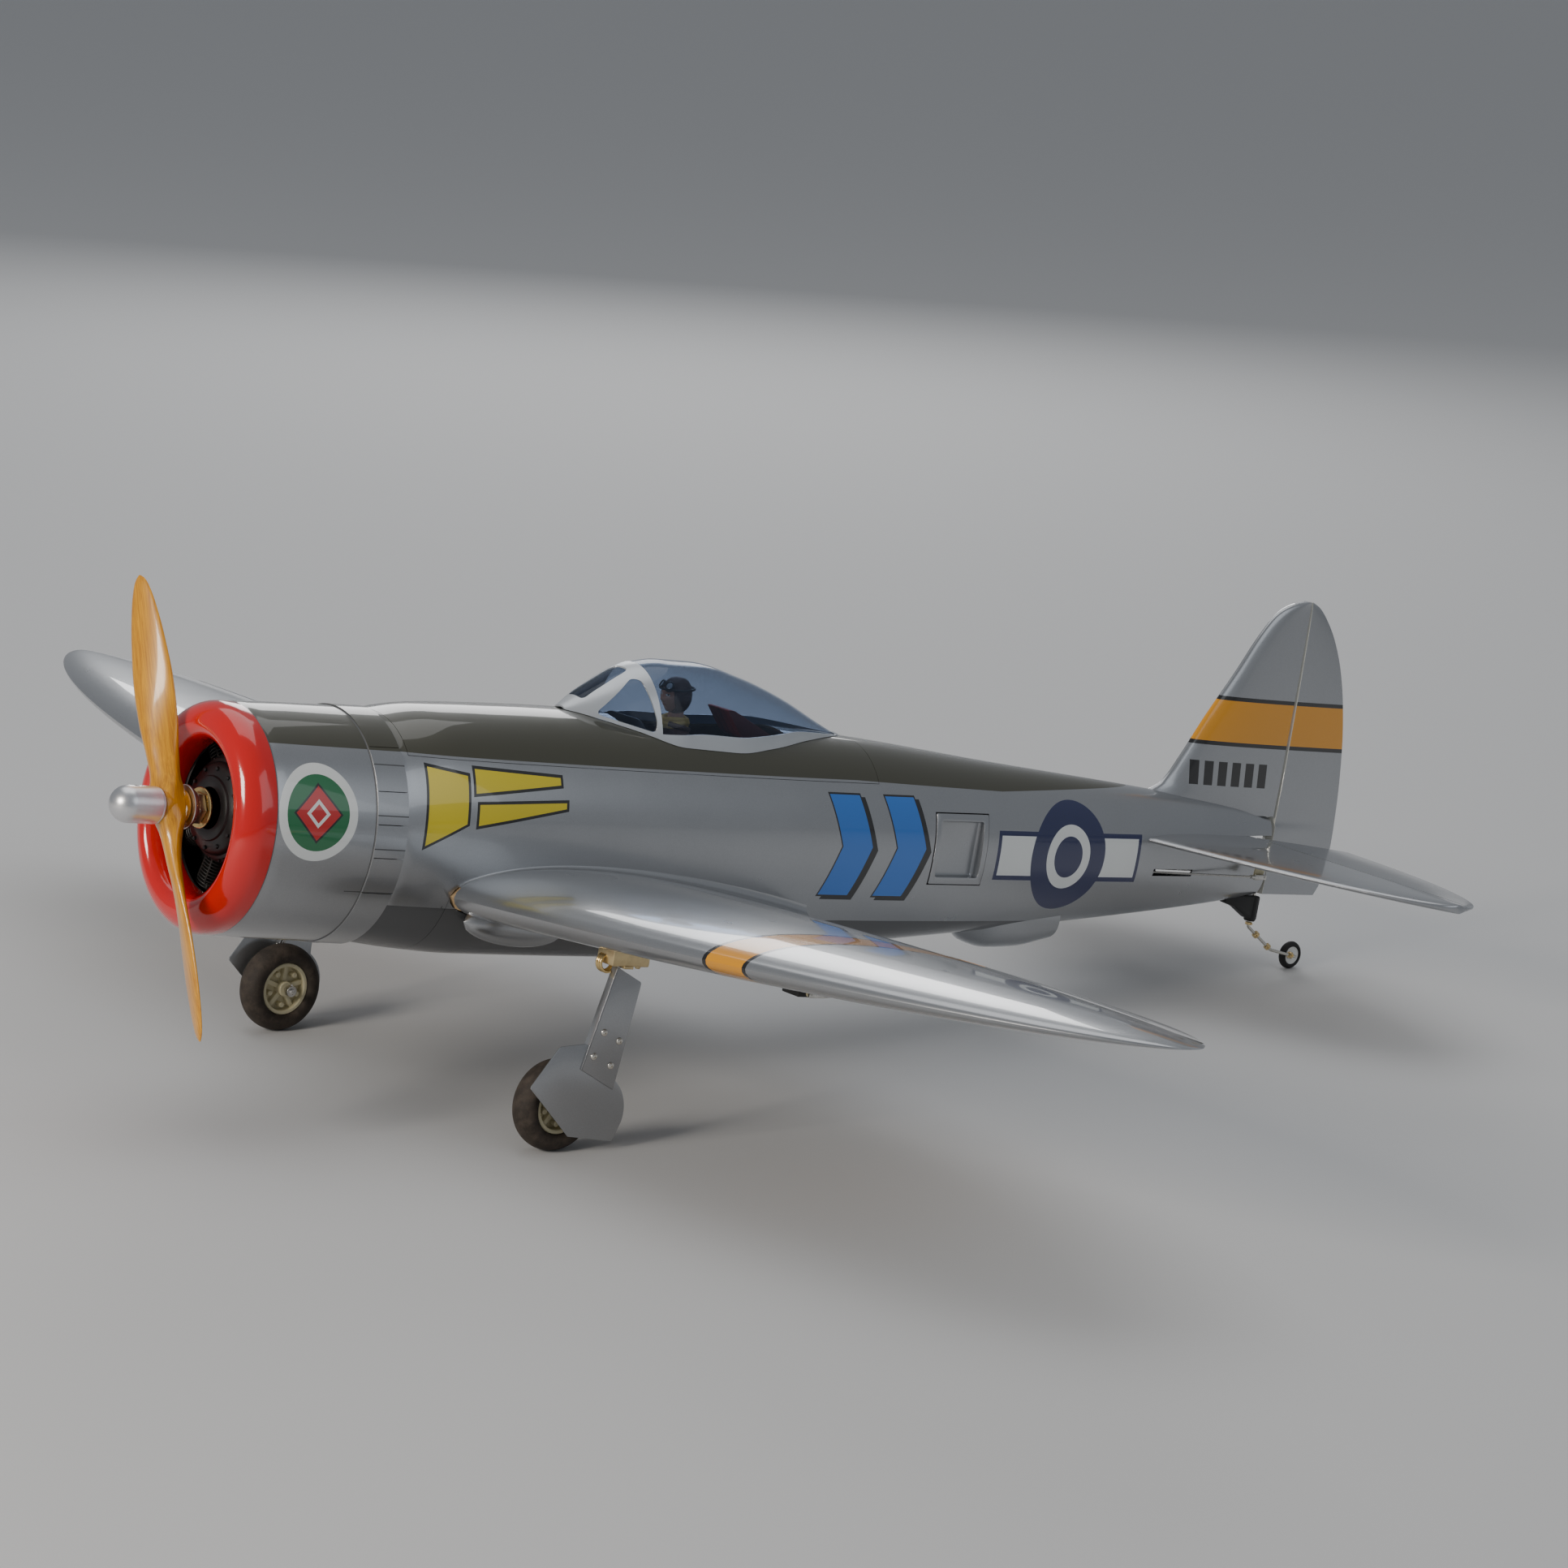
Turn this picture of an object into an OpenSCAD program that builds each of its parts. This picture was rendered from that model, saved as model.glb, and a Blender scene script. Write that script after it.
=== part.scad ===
// Semi-scale radial-engined warbird for radio control, standing on its three wheels.
// Every piece is drawn level: X to the aircraft's left, Y aft from the propeller's
// centre, Z up from the thrust line. place() then sets the aircraft on the ground.

/* [Stance] */
// Nose-up angle on the ground, degrees
pitch = 7; // [5:0.5:9]
// Height of the propeller's centre above the ground
hub_height = 275; // [265:1:290]
// Distance that centres the aircraft fore and aft on the origin
frame_y = -672.8; // [-680:0.1:-665]

/* [Wing] */
// Half of the wing span
half_span = 800; // [790:1:810]
// Dihedral of each panel, degrees
dihedral = 4.2; // [3.5:0.1:5]
// Where the panels meet the centre section
root_x = 88; // [87:0.5:90]
// Wall of the sheeted skins
skin = 2; // [1.5:0.1:3]

/* [Propeller] */
// Radius of the propeller
prop_r = 203; // [180:1:205]
// Angle of the blades from upright, degrees
prop_turn = -28.6; // [-45:0.1:45]

/* [Wheels] */
// Radius of a main tyre
wheel_r = 40; // [38:0.5:42]
// Width of a main tyre
wheel_w = 28; // [24:1:29]
// Distance between the main wheels' middles
tread = 414; // [404:1:424]
// Distance of the main axles aft of the propeller
axle_y = 294; // [286:1:300]
// Radius of the tail tyre
tail_r = 14; // [12:0.5:15]
// Distance of the tail wheel aft of the propeller
tail_y = 1380; // [1375:1:1384]

/* [Hinges] */
// Hinge line of the rudder
rudder_y = 1312; // [1311:0.5:1314]
// Hinge line of the elevators
elev_y = 1272; // [1270:0.5:1274]
// Height of the tailplane
tail_z = 24; // [22:0.5:26]
// Gap kept between a hinged piece and its neighbour
gap = 0.4; // [0.3:0.1:0.6]

/* [Hidden] */
$fn = 48;

silver = [0.72, 0.73, 0.75];
olive = [0.24, 0.25, 0.17];
nylon = [0.9, 0.87, 0.74];
steel = [0.6, 0.6, 0.62];
black = [0.1, 0.1, 0.1];
brass = [0.8, 0.62, 0.3];
wood = [0.75, 0.58, 0.36];

// Sizes that several pieces share
ring_n = 24;                 // points round a fuselage section
cowl_aft = 183;
cowl_r = 102;
cowl_wide = 0.87;            // the cowl is an upright oval: its width over its height
cowl_drop = -8;              // the cowl's centre below the thrust line
fus_front = 188;
hatch_front = 190;
hatch_aft = 730;
hatch_z = 66;                // joint between the hatch and the fuselage sides
wire_r = 2.5;
wheel_x = tread / 2;
leg_x = wheel_x + wheel_w / 2 + 4;
axle_z = (wheel_r + axle_y * sin(pitch) - hub_height) / cos(pitch);
tail_axle_z = (tail_r + tail_y * sin(pitch) - hub_height) / cos(pitch);
leg_top = [leg_x, 326, -62];
bevel = 27;                  // V cut along a hinged edge
horn_r = 32;                 // elevator horn, hinge to pushrod
rudder_horn_r = 28;
arm_r = 16;                  // aileron horn and servo arm
ail_in = [370, 542];         // aileron hinge line in plan, inner and outer ends
ail_out = [690, 487];
ail_yaw = atan2(ail_out[1] - ail_in[1], ail_out[0] - ail_in[0]);
ail_len = norm(ail_out - ail_in) / cos(dihedral);
ail_servo = [405, 366];

// ---------- shared outlines ----------

// Fuselage top, bottom and half width at a distance aft
function fus_top(y) = lookup(y, [[188, 93], [240, 101], [300, 104], [395, 106], [560, 105],
    [720, 99], [925, 83], [1130, 68], [1250, 57], [1312, 46]]);
function fus_bot(y) = lookup(y, [[188, -108], [240, -113], [300, -116], [480, -115],
    [600, -109], [750, -96], [925, -79], [1130, -57], [1250, -42], [1312, -32]]);
function fus_w(y) = lookup(y, [[188, 84.5], [240, 88], [300, 89.5], [395, 89], [560, 86], [720, 78],
    [925, 61], [1130, 40], [1250, 25], [1312, 12]]);
function pw(v, e) = sign(v) * pow(abs(v), e);
function section(y, t = 0, e = 2.25) = let (top = fus_top(y) - t, bot = fus_bot(y) + t,
    w = fus_w(y) - t, mid = (top + bot) / 2, half = (top - bot) / 2)
    [for (i = [0:ring_n - 1]) let (a = i * 360 / ring_n)
        [w * pw(cos(a), 2 / e), y, mid + half * pw(sin(a), 2 / e)]];

// Thickness of a symmetrical aerofoil, as a part of its chord
function foil_t(c, t) = 5 * t * (0.2969 * sqrt(c) - 0.126 * c - 0.3516 * c * c
    + 0.2843 * pow(c, 3) - 0.1015 * pow(c, 4)) + 0.002 * c;
function camber(c, m) = 4 * m * c * (1 - c);
foil_n = 11;
foil_c = [for (i = [0:foil_n - 1]) (1 - cos(180 * i / (foil_n - 1))) / 2];

// Wing in plan
function lead(x) = let (u = min(x / half_span, 1))
    244 + 180 * (1 - pow(1 - pow(u, 2.6), 0.62));
function trail(x) = let (u = min(x / half_span, 1))
    664 - 70 * u - 170 * (1 - pow(1 - pow(u, 3.2), 0.6));
function wing_z(x, y) = -50 + (x - 95) * tan(dihedral) - (y - lead(x)) * 0.024;
function wing_foil(x, t = 0) = let (y0 = lead(x) + t, ch = trail(x) - t * 2 - y0,
    th = 0.135 - 0.035 * x / half_span)
    concat(
        [for (i = [0:foil_n - 1]) let (c = foil_c[i], y = y0 + c * ch)
            [x, y, wing_z(x, y) + ch * (camber(c, 0.018) + foil_t(c, th)) - min(t, ch * foil_t(c, th))]],
        [for (i = [foil_n - 2:-1:1]) let (c = foil_c[i], y = y0 + c * ch)
            [x, y, wing_z(x, y) + ch * (camber(c, 0.018) - foil_t(c, th)) + min(t, ch * foil_t(c, th)) * 0.98]]);

// Tailplane in plan
function stab_lead(x) = let (u = min(x / 315, 1)) 1095 + 0.34 * x + 60 * (1 - sqrt(1 - pow(u, 3.5)));
function stab_trail(x) = let (u = min(x / 315, 1)) 1384 - 0.1 * x - 90 * (1 - sqrt(1 - pow(u, 2.8)));
function flat_foil(x, y0, y1, th) = concat(
    [for (i = [0:foil_n - 1]) let (c = foil_c[i])
        [x, y0 + c * (y1 - y0), tail_z + th * foil_t(c, 1) + 0.4]],
    [for (i = [foil_n - 1:-1:1]) let (c = foil_c[i])
        [x, y0 + c * (y1 - y0), tail_z - th * foil_t(c, 1) - 0.4]]);

// Fin and rudder seen from the side
function fin_lead(z) = lookup(z, [[40, 1100], [60, 1122], [75, 1152], [100, 1170], [140, 1194],
    [190, 1227], [230, 1252], [252, 1271], [261, 1288], [265, 1306]]);
function fin_trail(z) = lookup(z, [[-34, 1394], [-20, 1402], [20, 1408], [60, 1406], [120, 1398],
    [165, 1387], [200, 1374], [230, 1357], [250, 1340], [260, 1328], [265, 1317]]);
function fin_foil(z, th) = let (y0 = fin_lead(max(z, 40)), y1 = fin_trail(z)) concat(
    [for (i = [0:foil_n - 1]) let (c = foil_c[i]) [-th * foil_t(c, 1) - 0.4, y0 + c * (y1 - y0), z]],
    [for (i = [foil_n - 1:-1:1]) let (c = foil_c[i]) [th * foil_t(c, 1) + 0.4, y0 + c * (y1 - y0), z]]);

// Canopy: height of its base line, its crown and its half width
function can_base(y) = lookup(y, [[392, 104], [440, 88], [510, 81], [560, 82], [600, 87], [650, 95], [724, 97]]);
function can_top(y) = lookup(y, [[392, 106], [425, 128], [470, 151], [500, 156], [535, 156], [590, 146],
    [640, 131], [690, 111], [724, 98]]);
function can_w(y) = lookup(y, [[392, 6], [420, 34], [450, 45], [500, 54], [560, 54], [610, 46], [660, 30],
    [700, 14], [724, 2]]);
can_n = 14;
can_y = [392, 405, 425, 450, 475, 500, 525, 555, 590, 620, 650, 680, 705, 724];
function can_ring(y, t, low = 14, shift = 0) = let (b = can_base(y), w = can_w(y) + t, top = can_top(y) + t)
    concat([for (i = [0:can_n]) let (a = i * 180 / can_n)
            [w * pw(cos(a), 0.9), y + shift, b + (top - b) * sin(a)]],
        [[-w, y + shift, b - low], [w, y + shift, b - low]]);

// ---------- shared shapes ----------

// Sets a level piece at the aircraft's attitude on the ground
module place() {
    translate([0, frame_y, hub_height]) rotate([-pitch, 0, 0]) children();
}

// One mesh from a group of solids
module as_mesh() {
    resize([0, 0, 0]) children();
}

// A closed skin over rings that run the same way round
module loft(rings) {
    n = len(rings[0]);
    m = len(rings);
    polyhedron([for (r = rings) each r], concat(
        [[for (i = [n - 1:-1:0]) i]],
        [for (j = [0:m - 2]) for (i = [0:n - 1]) [j * n + i, j * n + (i + 1) % n, (j + 1) * n + (i + 1) % n]],
        [for (j = [0:m - 2]) for (i = [0:n - 1]) [j * n + i, (j + 1) * n + (i + 1) % n, (j + 1) * n + i]],
        [[for (i = [0:n - 1]) (m - 1) * n + i]]));
}

// A round bar from one point to another
module bar(p, q, r) {
    d = q - p;
    translate(p) rotate([0, acos(d[2] / norm(d)), atan2(d[1], d[0])]) cylinder(h = norm(d), r = r);
}

// The same with each end run on a little, so that it meets the next at a bend
module bent_bar(p, q, r) {
    d = (q - p) * r / norm(q - p) * 0.6;
    bar(p - d, q + d, r);
}

// A round bar along Y
module along(y0, y1, r) {
    translate([0, y0, 0]) rotate([-90, 0, 0]) cylinder(h = y1 - y0, r = r);
}

// A round bar along X
module across(x0, x1, r) {
    translate([x0, 0, 0]) rotate([0, 90, 0]) cylinder(h = x1 - x0, r = r);
}

module both_sides() {
    children();
    mirror([1, 0, 0]) children();
}

// The wedge behind a hinge line along X, with its V edge at the line
module aft_wedge(len, deep = 40, reach = 220) {
    rotate([90, 0, 90]) linear_extrude(len)
        polygon([[gap, 0], [gap + deep * tan(bevel), deep], [reach, deep], [reach, -deep],
            [gap + deep * tan(bevel), -deep]]);
}

// The frame of the left aileron's hinge: X runs outboard along it
module at_aileron() {
    translate([ail_in[0], ail_in[1], wing_z(ail_in[0], ail_in[1])])
        rotate([0, 0, ail_yaw]) rotate([0, -dihedral, 0]) children();
}

fus_y = [188, 215, 245, 300, 360, 420, 480, 540, 600, 660, 720, 790, 860, 925, 1000, 1065, 1130, 1190, 1250, 1310];
module fus_solid(t = 0) {
    loft([for (y = fus_y) section(y, t)]);
}
module fus_hollow() {
    loft([for (y = concat([180], [for (i = [1:len(fus_y) - 2]) fus_y[i]], [1268])) section(y, 2.2)]);
}
module fus_wall() {
    difference() {
        fus_solid();
        fus_hollow();
    }
}

wing_x = [88, 150, 220, 290, 360, 430, 500, 570, 630, 685, 730, 765, 785, 796];
module wing_solid() {
    loft([for (x = wing_x) wing_foil(x)]);
}

// Everything below a line drawn just outside the root aerofoil
module saddle(up, grow) {
    pts = [for (i = [0:foil_n - 1]) wing_foil(root_x)[i]];
    rotate([90, 0, 90]) translate([0, 0, -120]) linear_extrude(240)
        polygon(concat([[lead(root_x) - grow, -200]], [[lead(root_x) - grow, pts[0][2]]],
            [for (p = pts) [p[1], p[2] + up]], [[trail(root_x) + grow, pts[foil_n - 1][2]]],
            [[trail(root_x) + grow, -200]]));
}
module under_wing() {
    ring = wing_foil(root_x);
    low = concat([ring[0]], [for (i = [len(ring) - 1:-1:foil_n - 1]) ring[i]]);
    rotate([90, 0, 90]) translate([0, 0, -120]) linear_extrude(240)
        polygon(concat([for (p = low) [p[1], p[2] - 0.4]],
            [[trail(root_x), -200]], [[lead(root_x), -200]]));
}

// ---------- fuselage ----------

module fuselage_shell() {
    color(silver) place() as_mesh() difference() {
        fus_wall();
        translate([-120, hatch_front, hatch_z]) cube([240, hatch_aft - hatch_front, 60]);
        saddle(gap, gap);
        stab_solid();
        translate([-60, elev_y - 8, tail_z - 8]) cube([120, 60, 16]);
        translate([26, 1096, -16]) cube([34, 140, 16]);
        translate([-56, 1180, -20]) cube([36, 150, 16]);
        both_sides() exhaust_place() translate([-1, -37, -34]) cube([20, 74, 68]);
        translate([-26, 1262, -80]) cube([52, 60, 62]);
    }
}

module firewall() {
    color(wood) place() difference() {
        loft([section(fus_front + 2, 2.6), section(fus_front + 8, 2.8)]);
        translate([0, 180, -60]) along(0, 40, 14);
    }
}

module belly_pan() {
    color(silver) place() as_mesh() intersection() {
        fus_wall();
        under_wing();
        translate([-120, lead(root_x), -200]) cube([240, trail(root_x) - lead(root_x), 300]);
    }
}

module tail_bracket() {
    color(black) place() difference() {
        union() {
            translate([0, rudder_y, -60]) cylinder(h = 26, r = 6);
            translate([-5, 1268, -44]) cube([10, 44, 10]);
            hull() {
                translate([-4, 1270, -40]) cube([8, 2, 6]);
                translate([-4, 1306, -56]) cube([8, 2, 22]);
            }
        }
        translate([0, rudder_y, -70]) cylinder(h = 60, r = 1.66);
    }
}

module belly_scoop() {
    w = [[908, 4, -84], [925, 24, -92], [945, 32, -95], [980, 34, -91], [1015, 34, -84]];
    color(silver) place() as_mesh() difference() {
        loft([for (s = w) [for (i = [0:15]) let (a = i * 22.5)
            [s[1] * cos(a), s[0], -62 + (62 + s[2]) * -sin(a)]]]);
        fus_solid(-0.2);
        translate([-24, 985, -84]) cube([48, 40, 24]);
    }
}

// On the fuselage side, X outwards from the bottom of the recess
module exhaust_place() {
    translate([58, 838, 10]) rotate([0, 0, 5]) children();
}

module exhaust_frames() {
    color(silver) place() both_sides() exhaust_place() difference() {
        translate([0, -36, -33]) cube([11.5, 72, 66]);
        translate([2, -29, -26]) cube([20, 58, 52]);
    }
}

// ---------- engine ----------

module cowl() {
    color(silver) place() translate([0, 0, cowl_drop]) scale([cowl_wide, 1, 1])
        rotate([-90, 0, 0]) rotate_extrude($fn = 96) polygon(concat(
            [[cowl_r + 1, cowl_aft], [cowl_r, 150], [cowl_r - 1, 90], [99, 50]],
            [for (i = [0:8]) let (a = i * 22.5) [86 + 13 * cos(a) + 0.5, 37 - 18 * sin(a)]],
            [[75, 49], [76.5, 55], [80, 49], [84, 39], [88, 39], [95, 55], [cowl_r - 3.5, 92],
                [cowl_r - 2.5, 150], [cowl_r - 1.5, cowl_aft]]));
}

module dummy_crankcase() {
    color(black) place() difference() {
        union() {
            along(56, 78, 44);
            along(46, 56, 38);
            along(40, 46, 26);
            for (i = [0:8]) rotate([0, i * 40 + 20, 0]) translate([0, 0, 40]) along(52, 56, 3);
        }
        along(20, 90, 18);
    }
}

// One finned cylinder, standing out along Z
module finned_cylinder() {
    rotate_extrude($fn = 24) polygon(concat([[0, 44.5], [9, 44.5]],
        [for (i = [0:8]) each [[9, 47 + i * 3.4], [12, 47.4 + i * 3.4], [12, 48.6 + i * 3.4], [9, 49 + i * 3.4]]],
        [[7, 77], [0, 77]]));
}

module dummy_cylinders() {
    color([0.2, 0.2, 0.2]) place() for (i = [0:8]) rotate([0, i * 40, 0])
        translate([0, 70, 0]) finned_cylinder();
}

module motor_mount() {
    color(steel) place() difference() {
        union() {
            translate([-26, 135, -26]) cube([52, 3, 52]);
            for (a = [-1, 1], b = [-1, 1]) translate([a * 20, 0, b * 20]) along(138, 190, 4);
        }
        along(130, 150, 7);
    }
}

module motor_stator() {
    color(steel) place() difference() {
        union() {
            along(86, 126, 19);
            along(126, 135, 24);
        }
        along(80, 140, 4.6);
    }
}

module motor_bell() {
    color(black) place() union() {
        difference() {
            along(82, 124, 25);
            along(85, 136, 20);
        }
        along(-28, 116, 4);
    }
}

module prop_driver() {
    color(steel) place() {
        difference() {
            union() {
                along(20, 36, 11);
                along(16, 20, 16);
            }
            along(10, 40, 4.05);
        }
        difference() {
            along(13, 16, 19);
            along(10, 20, 4.05);
        }
    }
}

module propeller() {
    st = [[2, 13, 12, 0], [12, 12.5, 11, 10], [26, 12.5, 9.5, 34], [45, 14, 6.5, 42], [75, 17.5, 4.6, 33], [110, 19, 3.6, 25],
        [145, 17, 2.9, 20], [175, 13, 2.2, 17], [195, 8, 1.6, 15], [prop_r, 2, 1, 14]];
    color([0.9, 0.6, 0.1]) place() rotate([0, prop_turn, 0]) as_mesh() difference() {
        union() {
            for (k = [0, 180]) rotate([0, k, 0])
                loft([for (s = st) [for (i = [0:15]) let (a = -i * 22.5, c = s[1] * cos(a), t = s[2] * sin(a))
                    [c * cos(s[3]) + t * sin(s[3]), -c * sin(s[3]) + t * cos(s[3]), s[0]]]]);
            along(-13, 13, 15);
        }
        along(-20, 20, 4.1);
    }
}

module bullet_nut() {
    color([0.8, 0.8, 0.82]) place() difference() {
        rotate([90, 0, 0]) rotate_extrude() polygon(concat([[0, 13], [14.5, 13], [16, 15], [16, 41.5]],
            [for (i = [1:8]) let (a = i * 11.25) [16 * cos(a), 41.5 + 16 * sin(a)]]));
        translate([0, -28.2, 0]) along(0, 30, 4.05);
        translate([0, -36, -30]) cylinder(h = 60, r = 2.5);
    }
}

// ---------- wing ----------

module wing_left() {
    color(silver) place() left_panel();
}
module wing_right() {
    color(silver) place() mirror([1, 0, 0]) left_panel();
}
module left_panel() {
    ribs = [150, 245, 330, 480, 600];
    as_mesh() difference() {
        wing_solid();
        difference() {
            loft([for (x = concat([80], [for (i = [1:10]) wing_x[i]])) wing_foil(x, skin)]);
            for (x = ribs) translate([x, 200, -120]) cube([3, 500, 200]);
            at_aileron() translate([-8, -8, -40]) cube([ail_len + 16, 200, 80]);
            translate([205, 300, -100]) cube([36, 60, 100]);
            translate([ail_servo[0] - 18, ail_servo[1] - 14, -100]) cube([48, 58, 100]);
        }
        for (x = ribs) translate([x - 5, (lead(x) + trail(x)) / 2 - 40, wing_z(x, 400) + 4])
            across(0, 13, 7, $fn = 16);
        at_aileron() translate([0, -gap, -40]) cube([ail_len, 200, 80]);
        translate([ail_servo[0] - 12, ail_servo[1] - 8, -100]) cube([36, 46, 111 + ail_arm_z]);
        translate([0, 345, -52]) across(80, 207, 8.2, $fn = 24);
        translate([208, 305, -100]) cube([30, 50, 100 + leg_top[2] + 6]);
    }
}

module wing_centre() {
    ring = wing_foil(root_x);
    color(wood) place() as_mesh() difference() {
        loft([for (x = [-root_x + gap, root_x - gap]) [for (p = ring) [x, p[1], p[2]]]]);
        loft([for (x = [-root_x, root_x]) [for (p = wing_foil(root_x, 2.5)) [x, p[1], p[2]]]]);
    }
}

module wing_joiner() {
    color([0.75, 0.75, 0.78]) place() translate([0, 345, -52]) difference() {
        across(-205, 205, 8);
        across(-210, 210, 7);
    }
}

module wing_bolts() {
    color(nylon) place() for (a = [-1, 1]) translate([a * 28, 610, -52]) {
        cylinder(h = 30, r = 3);
        translate([0, 0, 30]) cylinder(h = 4, r = 6);
    }
}

// Cut from the wing panel's own shape, so it carries the same aerofoil
module aileron() {
    as_mesh() intersection() {
        wing_solid();
        at_aileron() translate([0.6, 0, 0]) aft_wedge(ail_len - 1.2);
    }
    translate([ail_servo[0] + 14, 0, 0]) horn_plate(
        wing_z(ail_servo[0], 536) - 7.2, wing_z(ail_servo[0], 536) - arm_r - 4, 538);
}
module horn_plate(z1, z0, y) {
    translate([0, y, z0]) cube([2, 14, z1 - z0 - 3]);
}
module aileron_left() {
    color(silver) place() aileron();
}
module aileron_right() {
    color(silver) place() mirror([1, 0, 0]) aileron();
}

ail_rod_z = wing_z(ail_servo[0], 536) - arm_r;
ail_arm_z = ail_rod_z + 8;
module aileron_servos() {
    color(black) place() both_sides() {
        translate([ail_servo[0] - 11, ail_servo[1] - 7, ail_arm_z - 12]) cube([22, 44, 22]);
        translate([ail_servo[0], ail_servo[1], ail_arm_z]) across(11, 14, 3);
    }
}
module aileron_arm() {
    translate([ail_servo[0] + 14.4, ail_servo[1], ail_arm_z]) {
        across(0, 3, 4);
        translate([0, -2.5, -10]) cube([3, 5, 10]);
    }
}
module aileron_rod() {
    translate([ail_servo[0] + 19.2, 0, ail_rod_z]) {
        along(ail_servo[1] - 3, 548, 1);
        translate([-1.2, ail_servo[1] - 5, -2.5]) cube([2.4, 14, 5]);
        translate([-1.2, 535, -2.5]) cube([2.4, 16, 5]);
    }
}
module aileron_arm_left() {
    color(nylon) place() aileron_arm();
}
module aileron_arm_right() {
    color(nylon) place() mirror([1, 0, 0]) aileron_arm();
}
module aileron_rod_left() {
    color(steel) place() aileron_rod();
}
module aileron_rod_right() {
    color(steel) place() mirror([1, 0, 0]) aileron_rod();
}

// ---------- main gear ----------

module gear_blocks() {
    color(brass) place() both_sides() difference() {
        translate([leg_x - 14, leg_top[1] - 18, leg_top[2] - 12]) cube([24, 42, 18]);
        gear_leg(wire_r + 0.05, 1);
    }
}
module gear_leg(r, beyond = 0) {
    foot = [leg_x, axle_y, axle_z];
    bar(foot, leg_top + (leg_top - foot) * beyond / norm(leg_top - foot), r);
}
module gear_wires() {
    color(steel) place() both_sides() union() {
        gear_leg(wire_r);
        translate([leg_x, axle_y, axle_z]) sphere(r = wire_r);
        translate([0, axle_y, axle_z]) across(wheel_x - wheel_w / 2 - 7, leg_x, wire_r);
    }
}
module axle_collars() {
    color(steel) place() both_sides() translate([0, axle_y, axle_z]) {
        difference() {
            across(wheel_x - wheel_w / 2 - 6, wheel_x - wheel_w / 2 - 1, 5);
            across(0, leg_x, wire_r + 0.02);
        }
    }
}

// The covers follow the leg's rake; Z runs up the leg and Y aft
module on_leg() {
    rake = atan2(leg_top[1] - axle_y, leg_top[2] - axle_z);
    translate([leg_x + wire_r + 0.1, axle_y, axle_z]) rotate([-rake, 0, 0]) children();
}
module strut_covers() {
    color(silver) place() both_sides() on_leg() translate([1.3, 0, 0]) rotate([90, 0, 90])
        linear_extrude(1.2) polygon([[-3, 36], [38, 28], [27, 122], [-3, 128]]);
}
module wheel_doors() {
    color(silver) place() both_sides() on_leg() rotate([90, 0, 90]) linear_extrude(1.2)
        polygon(concat([[-8, 58], [-33, 49], [-49, 8], [8, -22], [56, -14]],
            [for (i = [0:5]) let (a = i * 14) [26 + 34 * cos(a) - 1, 4 + 34 * sin(a)]], [[32, 52]]));
}
module gear_screws() {
    color(steel) place() both_sides() on_leg() for (p = [[4, 50], [25, 47], [6, 72], [25, 69]])
        translate([2.6, p[0], p[1]]) rotate([0, 90, 0]) {
            cylinder(h = 1.4, r = 3.2);
            translate([0, 0, 1.4]) cylinder(h = 1, r1 = 3.2, r2 = 1.8, $fn = 24);
        }
}

module tyre() {
    translate([wheel_x, axle_y, axle_z]) rotate([0, 90, 0]) rotate_extrude($fn = 64)
        polygon(concat([[24, -9], [26, -12]],
            [for (i = [0:10]) let (a = -75 + i * 15) [28 + 12 * cos(a), wheel_w / 2 * sin(a)]],
            [[26, 12], [24, 9]]));
}
module hub() {
    translate([wheel_x, axle_y, axle_z]) rotate([0, 90, 0]) difference() {
        union() {
            translate([0, 0, -11]) cylinder(h = 22, r = 7);
            difference() {
                translate([0, 0, -9]) cylinder(h = 18, r = 23.95);
                translate([0, 0, -10]) cylinder(h = 20, r = 20.5);
            }
            for (i = [0:4]) rotate([0, 0, i * 72]) translate([5, -2.5, -6]) cube([17, 5, 12]);
        }
        translate([0, 0, -20]) cylinder(h = 40, r = wire_r + 0.06);
    }
}
module tyre_left() {
    color(black) place() tyre();
}
module hub_left() {
    color(nylon) place() hub();
}
module tyre_right() {
    color(black) place() mirror([1, 0, 0]) tyre();
}
module hub_right() {
    color(nylon) place() mirror([1, 0, 0]) hub();
}

// ---------- tail ----------

stab_x = [0, 30, 80, 140, 200, 250, 285, 303, 312];
module stab_solid() {
    side = [for (x = stab_x) flat_foil(x, stab_lead(x), stab_trail(x), 13 - 5 * x / 315)];
    loft([for (i = [0:len(stab_x) - 1]) side[i]]);
    mirror([1, 0, 0]) loft([for (i = [0:len(stab_x) - 1]) side[i]]);
}
module stabiliser() {
    color(silver) place() as_mesh() difference() {
        stab_solid();
        translate([-400, elev_y - gap, -20]) cube([800, 200, 100]);
    }
}
module elevators() {
    color(silver) place() {
        as_mesh() both_sides() intersection() {
            stab_solid();
            translate([0, elev_y, tail_z]) translate([24, 0, 0]) aft_wedge(300);
            linear_extrude(100) polygon([[24.5, elev_y], [320, elev_y], [320, 1400], [60, 1400]]);
        }
        translate([0, elev_y + 9, tail_z]) across(-30, 30, 1.6);
        translate([33, elev_y - 1, tail_z - horn_r - 4]) cube([2, 16, horn_r - 2]);
    }
}
module fin_solid() {
    z = [-32, 0, 40, 58, 75, 100, 140, 190, 230, 252, 261, 265];
    loft([for (v = z) fin_foil(v, v < 41 ? 22 : 19 - 10 * (v - 40) / 225)]);
}
module fin() {
    color(silver) place() as_mesh() difference() {
        fin_solid();
        fus_solid(-0.1);
        translate([-30, rudder_y - gap, -60]) cube([60, 200, 400]);
        translate([-30, 1050, -60]) cube([60, 300, 108]);
    }
}
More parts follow.
